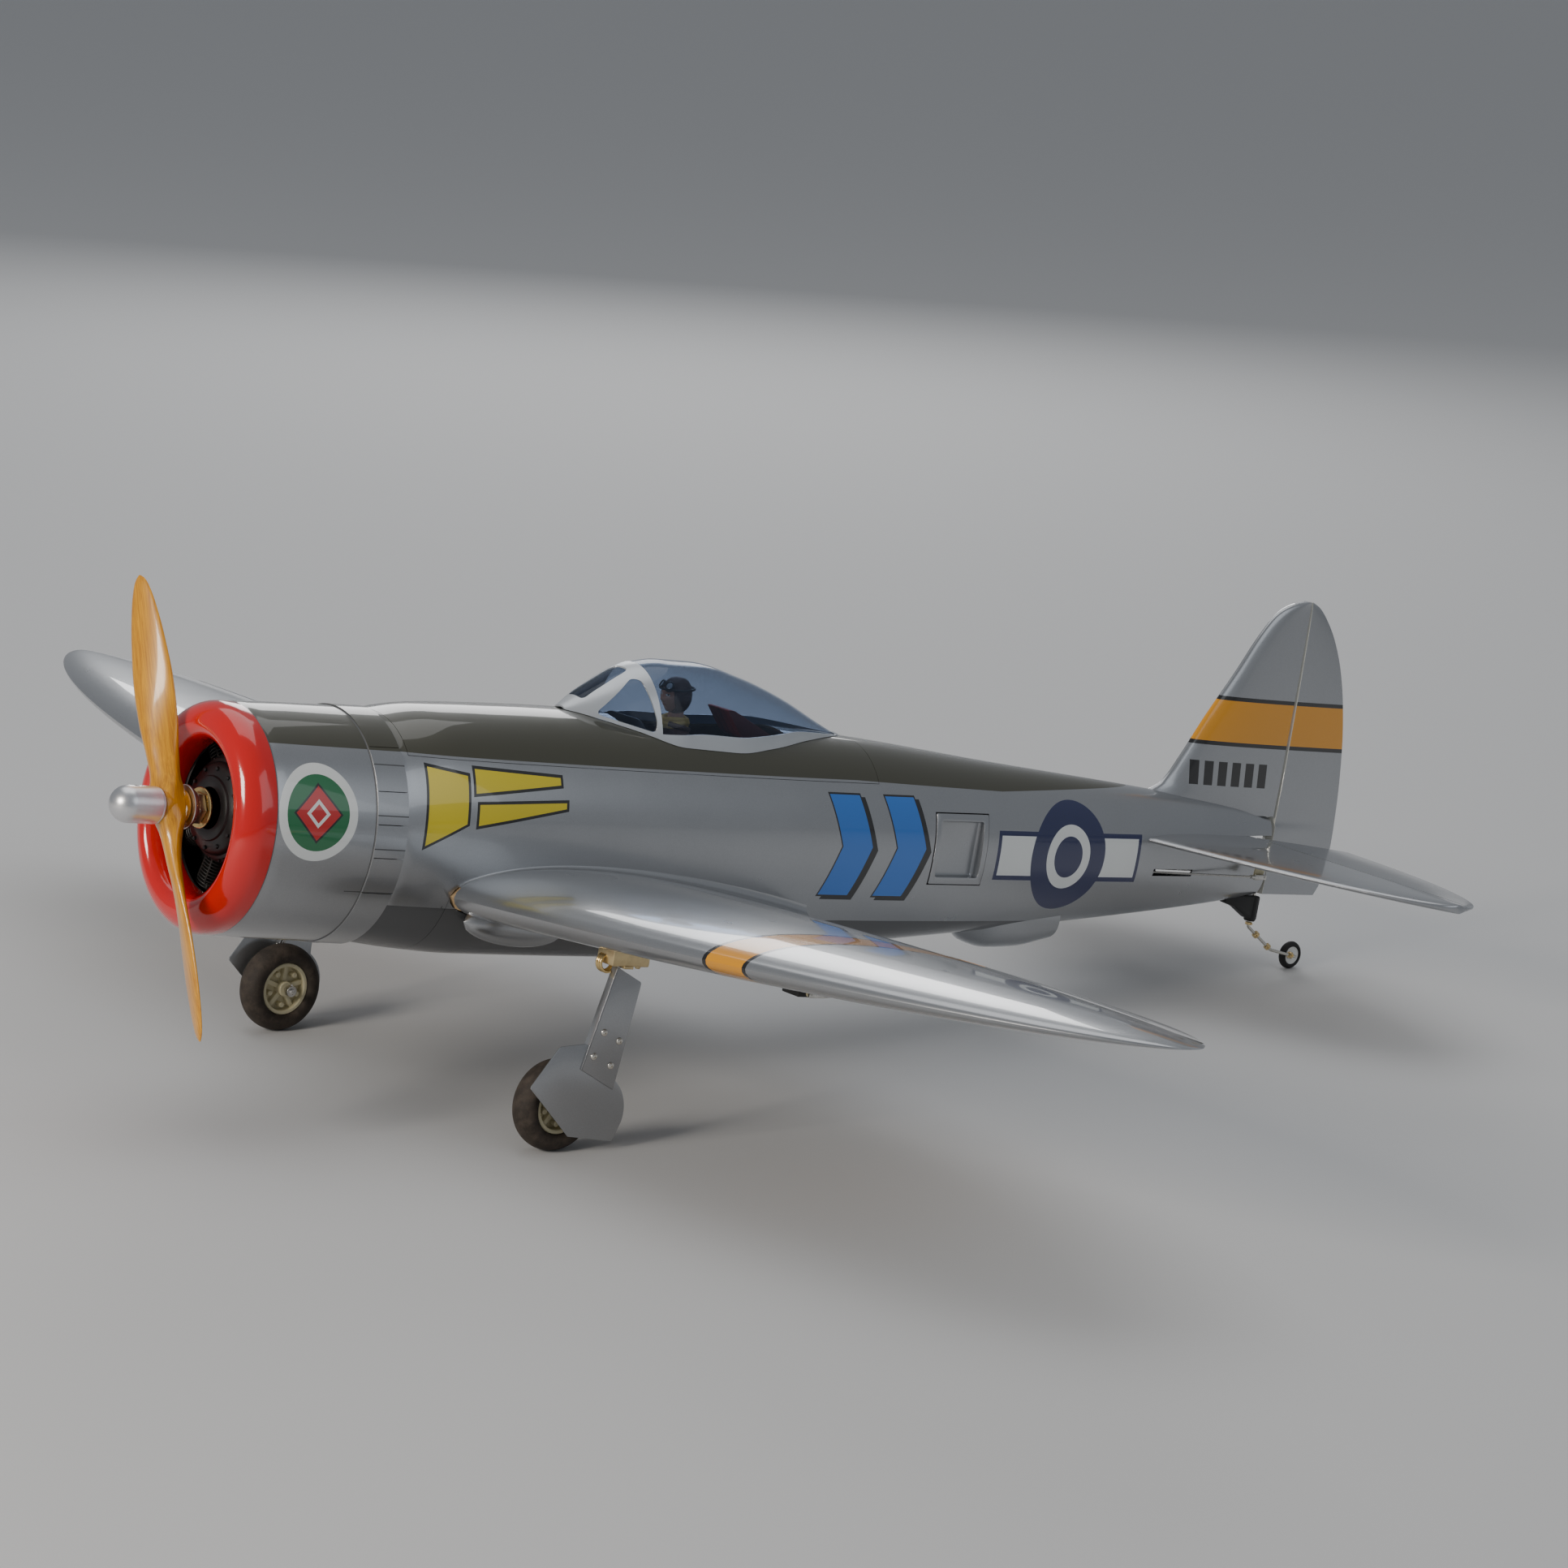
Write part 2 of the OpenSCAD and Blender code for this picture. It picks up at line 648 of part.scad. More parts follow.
module rudder() {
    deep = 30;
    color(silver) place() {
        as_mesh() difference() {
            intersection() {
                fin_solid();
                translate([0, rudder_y, -31]) linear_extrude(400)
                    polygon([[0, gap], [deep, gap + deep * tan(bevel)], [deep, 150], [-deep, 150],
                        [-deep, gap + deep * tan(bevel)]]);
            }
            translate([0, rudder_y, -40]) cylinder(h = 30, r = wire_r);
        }
        translate([-rudder_horn_r - 4, rudder_y + 8, -14]) cube([rudder_horn_r - 2, 8, 2]);
    }
}
tail_wire_r = 1.6;
module tail_wire() {
    knee = [0, rudder_y, -66];
    ankle = [8, 1342, tail_axle_z + 6];
    foot = [8, tail_y, tail_axle_z];
    color(steel) place() union() {
        bar(knee, [0, rudder_y, -12], tail_wire_r);
        bent_bar(knee, ankle, tail_wire_r);
        bent_bar(ankle, foot, tail_wire_r);
        translate([0, tail_y, tail_axle_z]) across(-7, 9, tail_wire_r);
    }
}
module tail_tyre() {
    color(black) place() translate([0, tail_y, tail_axle_z]) rotate([0, 90, 0]) rotate_extrude()
        polygon(concat([[9, -3]], [for (i = [0:8]) let (a = -80 + i * 20) [9.5 + 4.5 * cos(a), 4.5 * sin(a)]],
            [[9, 3]]));
}
module tail_hub() {
    color([0.93, 0.93, 0.93]) place() translate([0, tail_y, tail_axle_z]) rotate([0, 90, 0]) difference() {
        translate([0, 0, -3.5]) cylinder(h = 7, r = 8.95);
        translate([0, 0, -10]) cylinder(h = 20, r = tail_wire_r + 0.05);
    }
}

module hinge_pins() {
    color(steel) place() {
        for (z = [80, 150, 220]) translate([0, rudder_y - 14, z]) along(0, 13.4, 1);
        both_sides() for (x = [70, 150, 230]) translate([x, elev_y - 14, tail_z]) along(0, 13.4, 1);
    }
}

// ---------- controls and power inside ----------

module elevator_rod() {
    color(steel) place() translate([37.6, 0, tail_z - horn_r]) {
        along(718, 1282, 1);
        translate([-1.4, 1264, -2.5]) cube([2.8, 20, 5]);
    }
}
module rudder_rod() {
    color(steel) place() translate([-rudder_horn_r, 0, -17]) {
        along(658, 1326, 1);
        translate([-2.5, 1308, -1.4]) cube([5, 20, 2.8]);
    }
}
module elevator_arm() {
    color(nylon) place() translate([32, 720, tail_z]) {
        across(0, 3, 5);
        translate([0, -3, -horn_r - 3]) cube([3, 6, horn_r + 3]);
    }
}
module rudder_arm() {
    color(nylon) place() translate([0, 660, -12]) {
        cylinder(h = 2.5, r = 5);
        translate([-rudder_horn_r - 3, -3, 0]) cube([rudder_horn_r + 3, 6, 2.5]);
    }
}
module fuselage_servos() {
    color(black) place() {
        translate([-8, 712, tail_z - 8]) cube([38, 40, 20]);
        translate([30, 720, tail_z]) rotate([0, 90, 0]) cylinder(h = 1.6, r = 4);
        translate([-22, 652, -6]) cube([20, 40, 38]);
        translate([-22, 652, -9]) cube([40, 20, 10]);
    }
}
module equipment_tray() {
    color(wood) place() difference() {
        union() {
            translate([-48, 200, -12]) cube([96, 240, 3]);
            translate([-60, 640, 10]) cube([120, 130, 3]);
        }
        translate([-24, 645, 0]) cube([44, 50, 40]);
        translate([30, 705, 0]) cube([8, 32, 40]);
    }
}
module battery() {
    color([0.15, 0.25, 0.6]) place() translate([-24, 210, -8.8]) cube([48, 160, 50]);
}
module speed_controller() {
    color([0.2, 0.2, 0.25]) place() translate([-18, 380, -8.8]) cube([36, 56, 18]);
}
module receiver() {
    color([0.25, 0.25, 0.28]) place() translate([26, 650, 13.2]) cube([24, 42, 14]);
}

// ---------- hatch and cockpit ----------

module top_hatch() {
    clear = 0.3;
    color(olive) place() as_mesh() difference() {
        intersection() {
            fus_wall();
            translate([-120, hatch_front + clear, hatch_z + clear])
                cube([240, hatch_aft - hatch_front - 2 * clear, 60]);
        }
        loft([for (y = [440, 470, 500, 530, 560, 600, 640]) [for (p = can_ring(y, -7)) [p[0], p[1], p[2]]]]);
    }
}
module can_solid(t) {
    difference() {
        loft([for (y = can_y) can_ring(y, t)]);
        fus_solid(-0.4);
    }
}
module canopy_glass() {
    color([0.6, 0.7, 0.75, 0.4]) place() as_mesh() difference() {
        can_solid(0);
        loft([for (i = [1:len(can_y) - 2]) can_ring(can_y[i], -1.4)]);
    }
}
module canopy_frame() {
    color(silver) place() as_mesh() difference() {
        can_solid(1.2);
        loft(concat([can_ring(392, 0.05, 24, -4)], [for (y = can_y) can_ring(y, 0.05, 24)],
            [can_ring(724, 0.05, 24, 4)]));
        // open above the sill behind the hoop, and for the windscreen's panes
        loft([for (y = [498, 540, 600, 650, 730]) [[-80, y, can_base(y) + 11], [80, y, can_base(y) + 11],
            [80, y, 200], [-80, y, 200]]]);
        both_sides() rotate([90, 0, 90]) translate([0, 0, 20]) linear_extrude(60)
            polygon([[430, 106], [482, 102], [470, 137]]);
        translate([-11, 402, 116]) cube([22, 56, 80]);
    }
}
module cockpit_floor() {
    color(black) place() translate([-50, 445, hatch_z + 1]) cube([100, 215, 2]);
}
module pilot() {
    color([0.35, 0.2, 0.13]) place() translate([0, 523, hatch_z + 3.1]) union() {
        translate([0, 0, 56]) scale(1) sphere(r = 15.5, $fn = 32);
        translate([0, 1, 34]) cylinder(h = 12, r = 8);
        translate([0, 4, 0]) rotate_extrude() polygon([[0, 0], [22, 0], [23, 14], [19, 28], [9, 36], [0, 36]]);
    }
}
module headrest() {
    color([0.4, 0.08, 0.05]) place() difference() {
        translate([-17, 580, hatch_z + 3.1]) cube([34, 58, 48]);
        translate([-30, 580, hatch_z + 51.1]) rotate([-24, 0, 0]) cube([60, 80, 50]);
    }
}

fuselage_shell();
firewall();
motor_mount();
motor_stator();
dummy_crankcase();
dummy_cylinders();
cowl();
wing_left();
wing_right();
wing_centre();
wing_joiner();
wing_bolts();
belly_pan();
aileron_servos();
stabiliser();
fin();
hinge_pins();
gear_wires();
gear_blocks();
strut_covers();
wheel_doors();
gear_screws();
axle_collars();
fuselage_servos();
equipment_tray();
battery();
speed_controller();
receiver();
tail_bracket();
belly_scoop();
exhaust_frames();
top_hatch();
cockpit_floor();
canopy_frame();
canopy_glass();
pilot();
headrest();
motor_bell();
prop_driver();
propeller();
bullet_nut();
tyre_left();
hub_left();
tyre_right();
hub_right();
rudder();
tail_wire();
tail_tyre();
tail_hub();
elevators();
aileron_left();
aileron_right();
aileron_arm_left();
aileron_arm_right();
aileron_rod_left();
aileron_rod_right();
elevator_rod();
rudder_rod();
elevator_arm();
rudder_arm();
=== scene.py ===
"""Builds the looks of a radio control warbird round its jointed frame."""
from bisect import bisect_right
from math import atan2, cos, exp, pi, radians, sin, sqrt, tan

import bpy
from bpy.props import FloatProperty, FloatVectorProperty, IntProperty, PointerProperty
from mathutils import Matrix, Vector


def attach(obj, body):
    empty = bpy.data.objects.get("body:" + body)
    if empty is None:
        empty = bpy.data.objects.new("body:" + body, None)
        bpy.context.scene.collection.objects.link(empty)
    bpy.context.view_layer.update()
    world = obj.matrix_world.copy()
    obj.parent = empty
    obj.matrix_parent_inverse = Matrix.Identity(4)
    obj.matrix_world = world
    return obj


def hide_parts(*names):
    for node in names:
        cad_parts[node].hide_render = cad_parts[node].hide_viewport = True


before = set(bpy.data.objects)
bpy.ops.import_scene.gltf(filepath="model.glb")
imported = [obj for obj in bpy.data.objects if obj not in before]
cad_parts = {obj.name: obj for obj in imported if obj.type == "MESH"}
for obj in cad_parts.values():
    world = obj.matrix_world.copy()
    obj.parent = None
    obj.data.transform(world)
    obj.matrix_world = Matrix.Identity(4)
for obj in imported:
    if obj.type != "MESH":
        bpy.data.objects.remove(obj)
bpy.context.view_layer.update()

bl_info = {
    "name": "Radio Control Warbird",
    "version": (1, 0, 0),
    "blender": (4, 5, 0),
    "location": "View3D > Sidebar > Warbird",
    "description": "Models and paints a radio control warbird, piece by piece",
    "category": "Add Mesh",
}

MM = 0.001


def spun(angle, axis):
    return Matrix.Rotation(angle, 4, axis)


def shifted(x, y, z):
    return Matrix.Translation((x, y, z))


NOSE_UP = radians(7)
HUB_AT = Vector((0, -672.8, 275))
PROPELLER_TURN = radians(28.6)
# Takes millimetres in the aircraft's own axes, x left, y aft and z up from the
# propeller's centre, to metres as the aircraft stands
STANCE = Matrix.Scale(MM, 4) @ Matrix.Translation(HUB_AT) @ spun(-NOSE_UP, 'X')


def length(name, description, default):
    return FloatProperty(name=name, description=description, default=default, min=0.0001,
                         unit='LENGTH', precision=4)


def colour(name, description, default):
    return FloatVectorProperty(name=name, description=description, default=default, size=3,
                               min=0, max=1, subtype='COLOR')


class WarbirdSizes(bpy.types.PropertyGroup):
    """Sizes of the pieces that the frame leaves free"""
    skin: length("Skin", "Thickness of the fuselage wall", 0.002)
    seam: length("Seam", "Gap round the hatch and the control surfaces", 0.0004)
    glass: length("Canopy glass", "Thickness of the clear canopy", 0.0012)
    flap_step: length("Cowl flap step", "How far the cowl flaps stand proud", 0.0009)
    fillet: length("Wing fillet", "Largest radius of the fillet at the wing root", 0.015)
    fins: IntProperty(name="Cooling fins", description="Fins on each dummy cylinder",
                      default=10, min=3, max=16)
    spokes: IntProperty(name="Wheel spokes", description="Spokes in each main wheel",
                        default=5, min=3, max=8)


class WarbirdColours(bpy.types.PropertyGroup):
    """Colours of the finishes"""
    silver: colour("Silver", "Metallic covering film", (0.36, 0.37, 0.385))
    olive: colour("Olive", "Anti-glare top", (0.042, 0.040, 0.021))
    red: colour("Red", "Cowl ring", (0.66, 0.004, 0.003))
    yellow: colour("Yellow", "Bands on fin and wing", (0.80, 0.33, 0.004))
    lemon: colour("Lemon", "Flash on the nose", (0.75, 0.60, 0.006))
    blue: colour("Blue", "Blocks on the side", (0.02, 0.19, 0.66))
    navy: colour("Navy", "Disc and edges of the bars", (0.006, 0.014, 0.085))
    white: colour("White", "Bars and disc", (0.80, 0.82, 0.80))
    wood: colour("Propeller", "Stained wood", (0.88, 0.40, 0.010))
    rubber: colour("Rubber", "Tyres", (0.030, 0.022, 0.016))
    nylon: colour("Nylon", "Horns, arms and wheels", (0.70, 0.64, 0.42))


def sizes():
    return bpy.context.scene.warbird_sizes


def colours():
    return bpy.context.scene.warbird_colours


# ---------- outlines, in millimetres in the aircraft's own axes ----------

def smooth(*points):
    """A curve without overshoot through (place, value) points."""
    xs, ys = [p[0] for p in points], [p[1] for p in points]
    slopes = [(ys[i + 1] - ys[i]) / (xs[i + 1] - xs[i]) for i in range(len(xs) - 1)]
    ends = [slopes[0]]
    for a, b in zip(slopes, slopes[1:]):
        ends.append(0 if a * b <= 0 else 2 * a * b / (a + b))
    ends.append(slopes[-1])

    def at(x):
        x = min(max(x, xs[0]), xs[-1])
        i = min(bisect_right(xs, x) - 1, len(xs) - 2)
        h = xs[i + 1] - xs[i]
        t = (x - xs[i]) / h
        return (ys[i] * (1 + 2 * t) * (1 - t) ** 2 + h * ends[i] * t * (1 - t) ** 2
                + ys[i + 1] * t * t * (3 - 2 * t) - h * ends[i + 1] * t * t * (1 - t))
    return at


def power(v, e):
    return (1 if v >= 0 else -1) * abs(v) ** e


def steps(a, b, n):
    return [a + (b - a) * i / n for i in range(n + 1)]


def turns(n):
    """Angles once round a circle."""
    return [2 * pi * i / n for i in range(n)]


fuselage_top = smooth((188, 93), (240, 101), (300, 104), (395, 106), (560, 105), (720, 99),
                      (925, 83), (1130, 68), (1250, 57), (1312, 46))
fuselage_bottom = smooth((188, -108), (240, -113), (300, -116), (480, -115), (600, -109),
                         (750, -96), (925, -79), (1130, -57), (1250, -42), (1312, -32))
fuselage_half = smooth((188, 84.5), (240, 88), (300, 89.5), (395, 89), (560, 86), (720, 78),
                       (925, 61), (1130, 40), (1250, 25), (1312, 12))
ROUNDNESS = 2.25
HATCH_FRONT, HATCH_AFT, HATCH_LOW = 190, 730, 66


def fuselage_ring(y, inset=0, count=96):
    top, low = fuselage_top(y) - inset, fuselage_bottom(y) + inset
    wide, middle, half = fuselage_half(y) - inset, (top + low) / 2, (top - low) / 2
    return [(wide * power(cos(a), 2 / ROUNDNESS), y, middle + half * power(sin(a), 2 / ROUNDNESS))
            for a in turns(count)]


def fuselage_side(y, z):
    """Half width of the fuselage at a height."""
    top, low = fuselage_top(y), fuselage_bottom(y)
    part = min(1, abs((z - (top + low) / 2) / ((top - low) / 2)))
    return fuselage_half(y) * (1 - part ** ROUNDNESS) ** (1 / ROUNDNESS)


# Half the span, the slope of the wing and the distance of its root from the middle
SPAN_HALF, DIHEDRAL, ROOT = 800, radians(4.2), 88


def foil_half(c, t):
    """Half thickness of a symmetrical aerofoil at a part of its chord."""
    return 5 * t * (0.2969 * sqrt(c) - 0.126 * c - 0.3516 * c * c + 0.2843 * c ** 3
                    - 0.1015 * c ** 4) + 0.002 * c


def wing_lead(x):
    return 244 + 180 * (1 - (1 - min(x / SPAN_HALF, 1) ** 2.6) ** 0.62)


def wing_trail(x):
    u = min(x / SPAN_HALF, 1)
    return 664 - 70 * u - 170 * (1 - (1 - u ** 3.2) ** 0.6)


def wing_height(x, y):
    return -50 + (x - 95) * tan(DIHEDRAL) - (y - wing_lead(x)) * 0.024


def wing_surface(x, y, side=1):
    chord = wing_trail(x) - wing_lead(x)
    c = min(max((y - wing_lead(x)) / chord, 0), 1)
    thick = 0.135 - 0.035 * x / SPAN_HALF
    return wing_height(x, y) + chord * (4 * 0.018 * c * (1 - c) + side * foil_half(c, thick))


def wing_ring(x, count=26):
    cs = [(1 - cos(pi * i / count)) / 2 for i in range(count + 1)]
    lead, chord = wing_lead(x), wing_trail(x) - wing_lead(x)
    upper = [(x, lead + c * chord, wing_surface(x, lead + c * chord)) for c in cs]
    lower = [(x, lead + c * chord, wing_surface(x, lead + c * chord, -1)) for c in cs[-2:0:-1]]
    return upper + lower


AILERON_IN, AILERON_OUT = Vector((370, 542)), Vector((690, 487))
AILERON_YAW = atan2(AILERON_OUT.y - AILERON_IN.y, AILERON_OUT.x - AILERON_IN.x)
AILERON_LONG = (AILERON_OUT - AILERON_IN).length / cos(DIHEDRAL)
AT_AILERON = (shifted(AILERON_IN.x, AILERON_IN.y, wing_height(*AILERON_IN)) @ spun(AILERON_YAW, 'Z')
              @ spun(-DIHEDRAL, 'Y'))
HINGE_BEVEL = tan(radians(27))
RUDDER_AT, ELEVATOR_AT, TAIL_HIGH = 1312, 1272, 24
SERVO = Vector((405, 366))
AILERON_ROD_HIGH = wing_height(SERVO.x, 536) - 16
AILERON_ARM_HIGH = AILERON_ROD_HIGH + 8


def tail_lead(x):
    return 1095 + 0.34 * x + 60 * (1 - sqrt(max(0, 1 - min(x / 315, 1) ** 3.5)))


def tail_trail(x):
    return 1384 - 0.1 * x - 90 * (1 - sqrt(max(0, 1 - min(x / 315, 1) ** 2.8)))


def tail_ring(x, count=20):
    a = abs(x)
    thick = 13 - 5 * a / 315
    cs = [(1 - cos(pi * i / count)) / 2 for i in range(count + 1)]
    lead, chord = tail_lead(a), tail_trail(a) - tail_lead(a)
    upper = [(x, lead + c * chord, TAIL_HIGH + thick * foil_half(c, 1) + 0.4) for c in cs]
    return upper + [(p[0], p[1], 2 * TAIL_HIGH - p[2]) for p in reversed(upper)]


fin_lead = smooth((40, 1100), (60, 1122), (75, 1152), (100, 1170), (140, 1194), (190, 1227),
                  (230, 1252), (252, 1271), (261, 1288), (265, 1306))
fin_trail = smooth((-34, 1394), (-20, 1402), (20, 1408), (60, 1406), (120, 1398), (165, 1387),
                   (200, 1374), (230, 1357), (250, 1340), (260, 1328), (265, 1317))


def fin_ring(z, count=20):
    thick = 22 if z < 41 else 19 - 10 * (z - 40) / 225
    cs = [(1 - cos(pi * i / count)) / 2 for i in range(count + 1)]
    lead = fin_lead(max(z, 40))
    chord = fin_trail(z) - lead
    left = [(-thick * foil_half(c, 1) - 0.4, lead + c * chord, z) for c in cs]
    return left + [(-p[0], p[1], p[2]) for p in reversed(left)]


canopy_base = smooth((392, 104), (440, 88), (510, 81), (560, 82), (600, 87), (650, 95), (724, 97))
canopy_top = smooth((392, 106), (425, 128), (470, 151), (500, 156), (535, 156), (590, 146),
                    (640, 131), (690, 111), (724, 98))
canopy_half = smooth((392, 6), (420, 27), (450, 40), (500, 53.5), (560, 54), (610, 46), (660, 30),
                     (700, 14), (724, 2))


def canopy_ring(y, out=0, low=14, count=40):
    base, wide, top = canopy_base(y), canopy_half(y) + out, canopy_top(y) + out
    arch = [(wide * power(cos(a), 0.9), y, base + (top - base) * sin(a))
            for a in (pi * i / count for i in range(count + 1))]
    return arch + [(-wide, y, base - low), (wide, y, base - low)]


# ---------- modelling ----------

def clear_selection():
    if bpy.context.mode != 'OBJECT':
        bpy.ops.object.mode_set(mode='OBJECT')
    bpy.ops.object.select_all(action='DESELECT')


def only(obj):
    clear_selection()
    obj.select_set(True)
    bpy.context.view_layer.objects.active = obj


def named(name):
    obj = bpy.context.object
    obj.name = obj.data.name = name
    return obj


def mesh_piece(name, verts, faces):
    mesh = bpy.data.meshes.new(name)
    mesh.from_pydata(verts, [], faces)
    obj = bpy.data.objects.new(name, mesh)
    bpy.context.scene.collection.objects.link(obj)
    return obj


def facing_out(obj, doubles=0.001):
    only(obj)
    bpy.ops.object.mode_set(mode='EDIT')
    bpy.ops.mesh.select_all(action='SELECT')
    bpy.ops.mesh.remove_doubles(threshold=doubles)
    bpy.ops.mesh.normals_make_consistent(inside=False)
    bpy.ops.object.mode_set(mode='OBJECT')
    return obj


def lofted(name, rings, capped=True):
    """A skin over rings of points that run the same way round."""
    n = len(rings[0])
    verts = [p for ring in rings for p in ring]
    faces = [(j * n + i, j * n + (i + 1) % n, (j + 1) * n + (i + 1) % n, (j + 1) * n + i)
             for j in range(len(rings) - 1) for i in range(n)]
    if capped:
        faces += [tuple(range(n)), tuple(range((len(rings) - 1) * n, len(rings) * n))]
    return facing_out(mesh_piece(name, verts, faces))


def walled(name, outer, inner):
    """A tube between two lofts with the same number of rings."""
    n, m = len(outer[0]), len(outer)
    verts = [p for ring in outer + inner for p in ring]
    faces = []
    for base in (0, m * n):
        faces += [(base + j * n + i, base + j * n + (i + 1) % n, base + (j + 1) * n + (i + 1) % n,
                   base + (j + 1) * n + i) for j in range(m - 1) for i in range(n)]
    for a in (0, (m - 1) * n):
        b = m * n + a
        faces += [(a + i, a + (i + 1) % n, b + (i + 1) % n, b + i) for i in range(n)]
    return facing_out(mesh_piece(name, verts, faces))


def turned(name, profile, count=64, centre=(0, 0, 0), axis='Y', closed=True):
    """A profile of (radius, distance along the axis) points spun about that axis."""
    along = Vector({'X': (1, 0, 0), 'Y': (0, 1, 0), 'Z': (0, 0, 1)}[axis])
    out = Vector((1, 0, 0)) if axis != 'X' else Vector((0, 0, 1))
    points = [Vector(centre) + out * r + along * t for r, t in profile]
    if closed:
        points.append(points[0])
    clear_selection()
    bpy.ops.mesh.primitive_plane_add(size=1, location=(0, 0, 0), enter_editmode=True)
    bpy.ops.mesh.select_all(action='SELECT')
    bpy.ops.mesh.merge(type='CENTER')
    bpy.ops.transform.translate(value=points[0])
    for a, b in zip(points, points[1:]):
        bpy.ops.mesh.extrude_vertices_move(TRANSFORM_OT_translate={"value": b - a})
    bpy.ops.mesh.select_all(action='SELECT')
    bpy.ops.mesh.spin(steps=count, angle=2 * pi, center=centre, axis=along)
    bpy.ops.object.mode_set(mode='OBJECT')
    return facing_out(named(name))


def plate(name, points, push, rounded=0.0):
    """A flat outline given as points in space, extruded by a vector."""
    clear_selection()
    bpy.ops.mesh.primitive_circle_add(vertices=len(points), radius=1, fill_type='NGON',
                                      enter_editmode=False)
    obj = named(name)
    for v, p in zip(obj.data.vertices, points):
        v.co = p
    only(obj)
    bpy.ops.object.mode_set(mode='EDIT')
    bpy.ops.mesh.select_all(action='SELECT')
    bpy.ops.mesh.extrude_region_move(TRANSFORM_OT_translate={"value": Vector(push)})
    bpy.ops.object.mode_set(mode='OBJECT')
    facing_out(obj)
    return bevelled(obj, rounded) if rounded else obj


def block(name, low, high, rounded=0.0, segments=2):
    """A box between two corners with its edges rounded."""
    low, high = Vector(low), Vector(high)
    clear_selection()
    bpy.ops.mesh.primitive_cube_add(size=1, location=(low + high) / 2, scale=high - low)
    bpy.ops.object.transform_apply(location=True, rotation=True, scale=True)
    obj = named(name)
    return bevelled(obj, rounded, segments) if rounded else obj


def bevelled(obj, width, segments=2, angle=30):
    only(obj)
    m = obj.modifiers.new("Edges", 'BEVEL')
    m.width, m.segments, m.limit_method, m.angle_limit = width, segments, 'ANGLE', radians(angle)
    m.harden_normals = False
    bpy.ops.object.modifier_apply(modifier=m.name)
    return obj


def cut(obj, tool, operation='DIFFERENCE', keep=False):
    only(obj)
    m = obj.modifiers.new("Cut", 'BOOLEAN')
    m.object, m.operation, m.solver = tool, operation, 'EXACT'
    bpy.ops.object.modifier_apply(modifier=m.name)
    if not keep:
        bpy.data.objects.remove(tool)
    return obj


def joined(name, parts):
    clear_selection()
    for p in parts:
        p.select_set(True)
    bpy.context.view_layer.objects.active = parts[0]
    bpy.ops.object.join()
    return named(name)


def copied(obj, name, matrix=Matrix()):
    other = obj.copy()
    other.data = obj.data.copy()
    other.name = other.data.name = name
    bpy.context.scene.collection.objects.link(other)
    other.data.transform(matrix)
    if matrix.determinant() < 0:
        other.data.flip_normals()
    return other


MIRROR = Matrix.Scale(-1, 4, (1, 0, 0))


def both(obj, name):
    """The piece with its mirror image, as one object."""
    return joined(name, [obj, copied(obj, name + "_b", MIRROR)])


def moved(obj, matrix):
    obj.data.transform(matrix)
    return obj


def turned_to(direction):
    """Turns Z to a direction."""
    return Vector((0, 0, 1)).rotation_difference(Vector(direction)).to_matrix().to_4x4()


def wire(name, points, radius, bend=0.0, sides=3):
    """A round wire through points, with its corners eased."""
    points = [Vector(p) for p in points]
    path = [points[0]]
    for a, b, c in zip(points, points[1:], points[2:]):
        if bend:
            p, q = b + (a - b).normalized() * bend, b + (c - b).normalized() * bend
            path += [p * (1 - t) ** 2 + b * 2 * t * (1 - t) + q * t * t for t in steps(0, 1, 5)]
        else:
            path.append(b)
    path.append(points[-1])
    curve = bpy.data.curves.new(name, 'CURVE')
    curve.dimensions, curve.bevel_depth, curve.bevel_resolution = '3D', radius, sides
    curve.use_fill_caps = True
    spline = curve.splines.new('POLY')
    spline.points.add(len(path) - 1)
    for s, p in zip(spline.points, path):
        s.co = (*p, 1)
    obj = bpy.data.objects.new(name, curve)
    bpy.context.scene.collection.objects.link(obj)
    only(obj)
    bpy.ops.object.convert(target='MESH')
    return facing_out(named(name), 0.0001)


def settled(obj, body, finish, stands_for=(), smooth_under=35):
    """Puts a modelled piece on its body at the aircraft's stance, with its finish."""
    obj.data.transform(STANCE)
    obj.data.materials.clear()
    obj.data.materials.append(finish)
    only(obj)
    bpy.ops.object.shade_smooth_by_angle(angle=radians(smooth_under))
    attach(obj, body)
    if stands_for:
        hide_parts(*stands_for)
    return obj


# ---------- finishes ----------

class Value:
    """A shader value that takes part in expressions."""

    def __init__(self, finish, socket):
        self.finish, self.socket = finish, socket

    def maths(self, operation, *terms):
        return self.finish.add('ShaderNodeMath', {'operation': operation}, *terms)

    def __add__(self, other):
        return self.maths('ADD', self, other)

    def __sub__(self, other):
        return self.maths('SUBTRACT', self, other)

    def __rsub__(self, other):
        return self.maths('SUBTRACT', other, self)

    def __mul__(self, other):
        return self.maths('MULTIPLY', self, other)

    def __truediv__(self, other):
        return self.maths('DIVIDE', self, other)

    def __pow__(self, other):
        return self.maths('POWER', self, other)

    def __abs__(self):
        return self.maths('ABSOLUTE', self)

    def __lt__(self, other):
        return self.maths('LESS_THAN', self, other)

    def __gt__(self, other):
        return self.maths('GREATER_THAN', self, other)

    def __and__(self, other):
        return self.maths('MULTIPLY', self, other)

    def __or__(self, other):
        return self.maths('MAXIMUM', self, other)

    def __invert__(self):
        return 1 - self

    __radd__ = __add__
    __rmul__ = __mul__

    def between(self, low, high):
        return (self > low) & (self < high)

    def line(self, at, half):
        return abs(self - at) < half

    def repeat(self, every):
        return self.maths('FLOORED_MODULO', self, every)

    def ramp(self, low, high, start=0.0, end=1.0):
        return self.finish.add('ShaderNodeMapRange', {'clamp': True}, self, low, high, start, end)


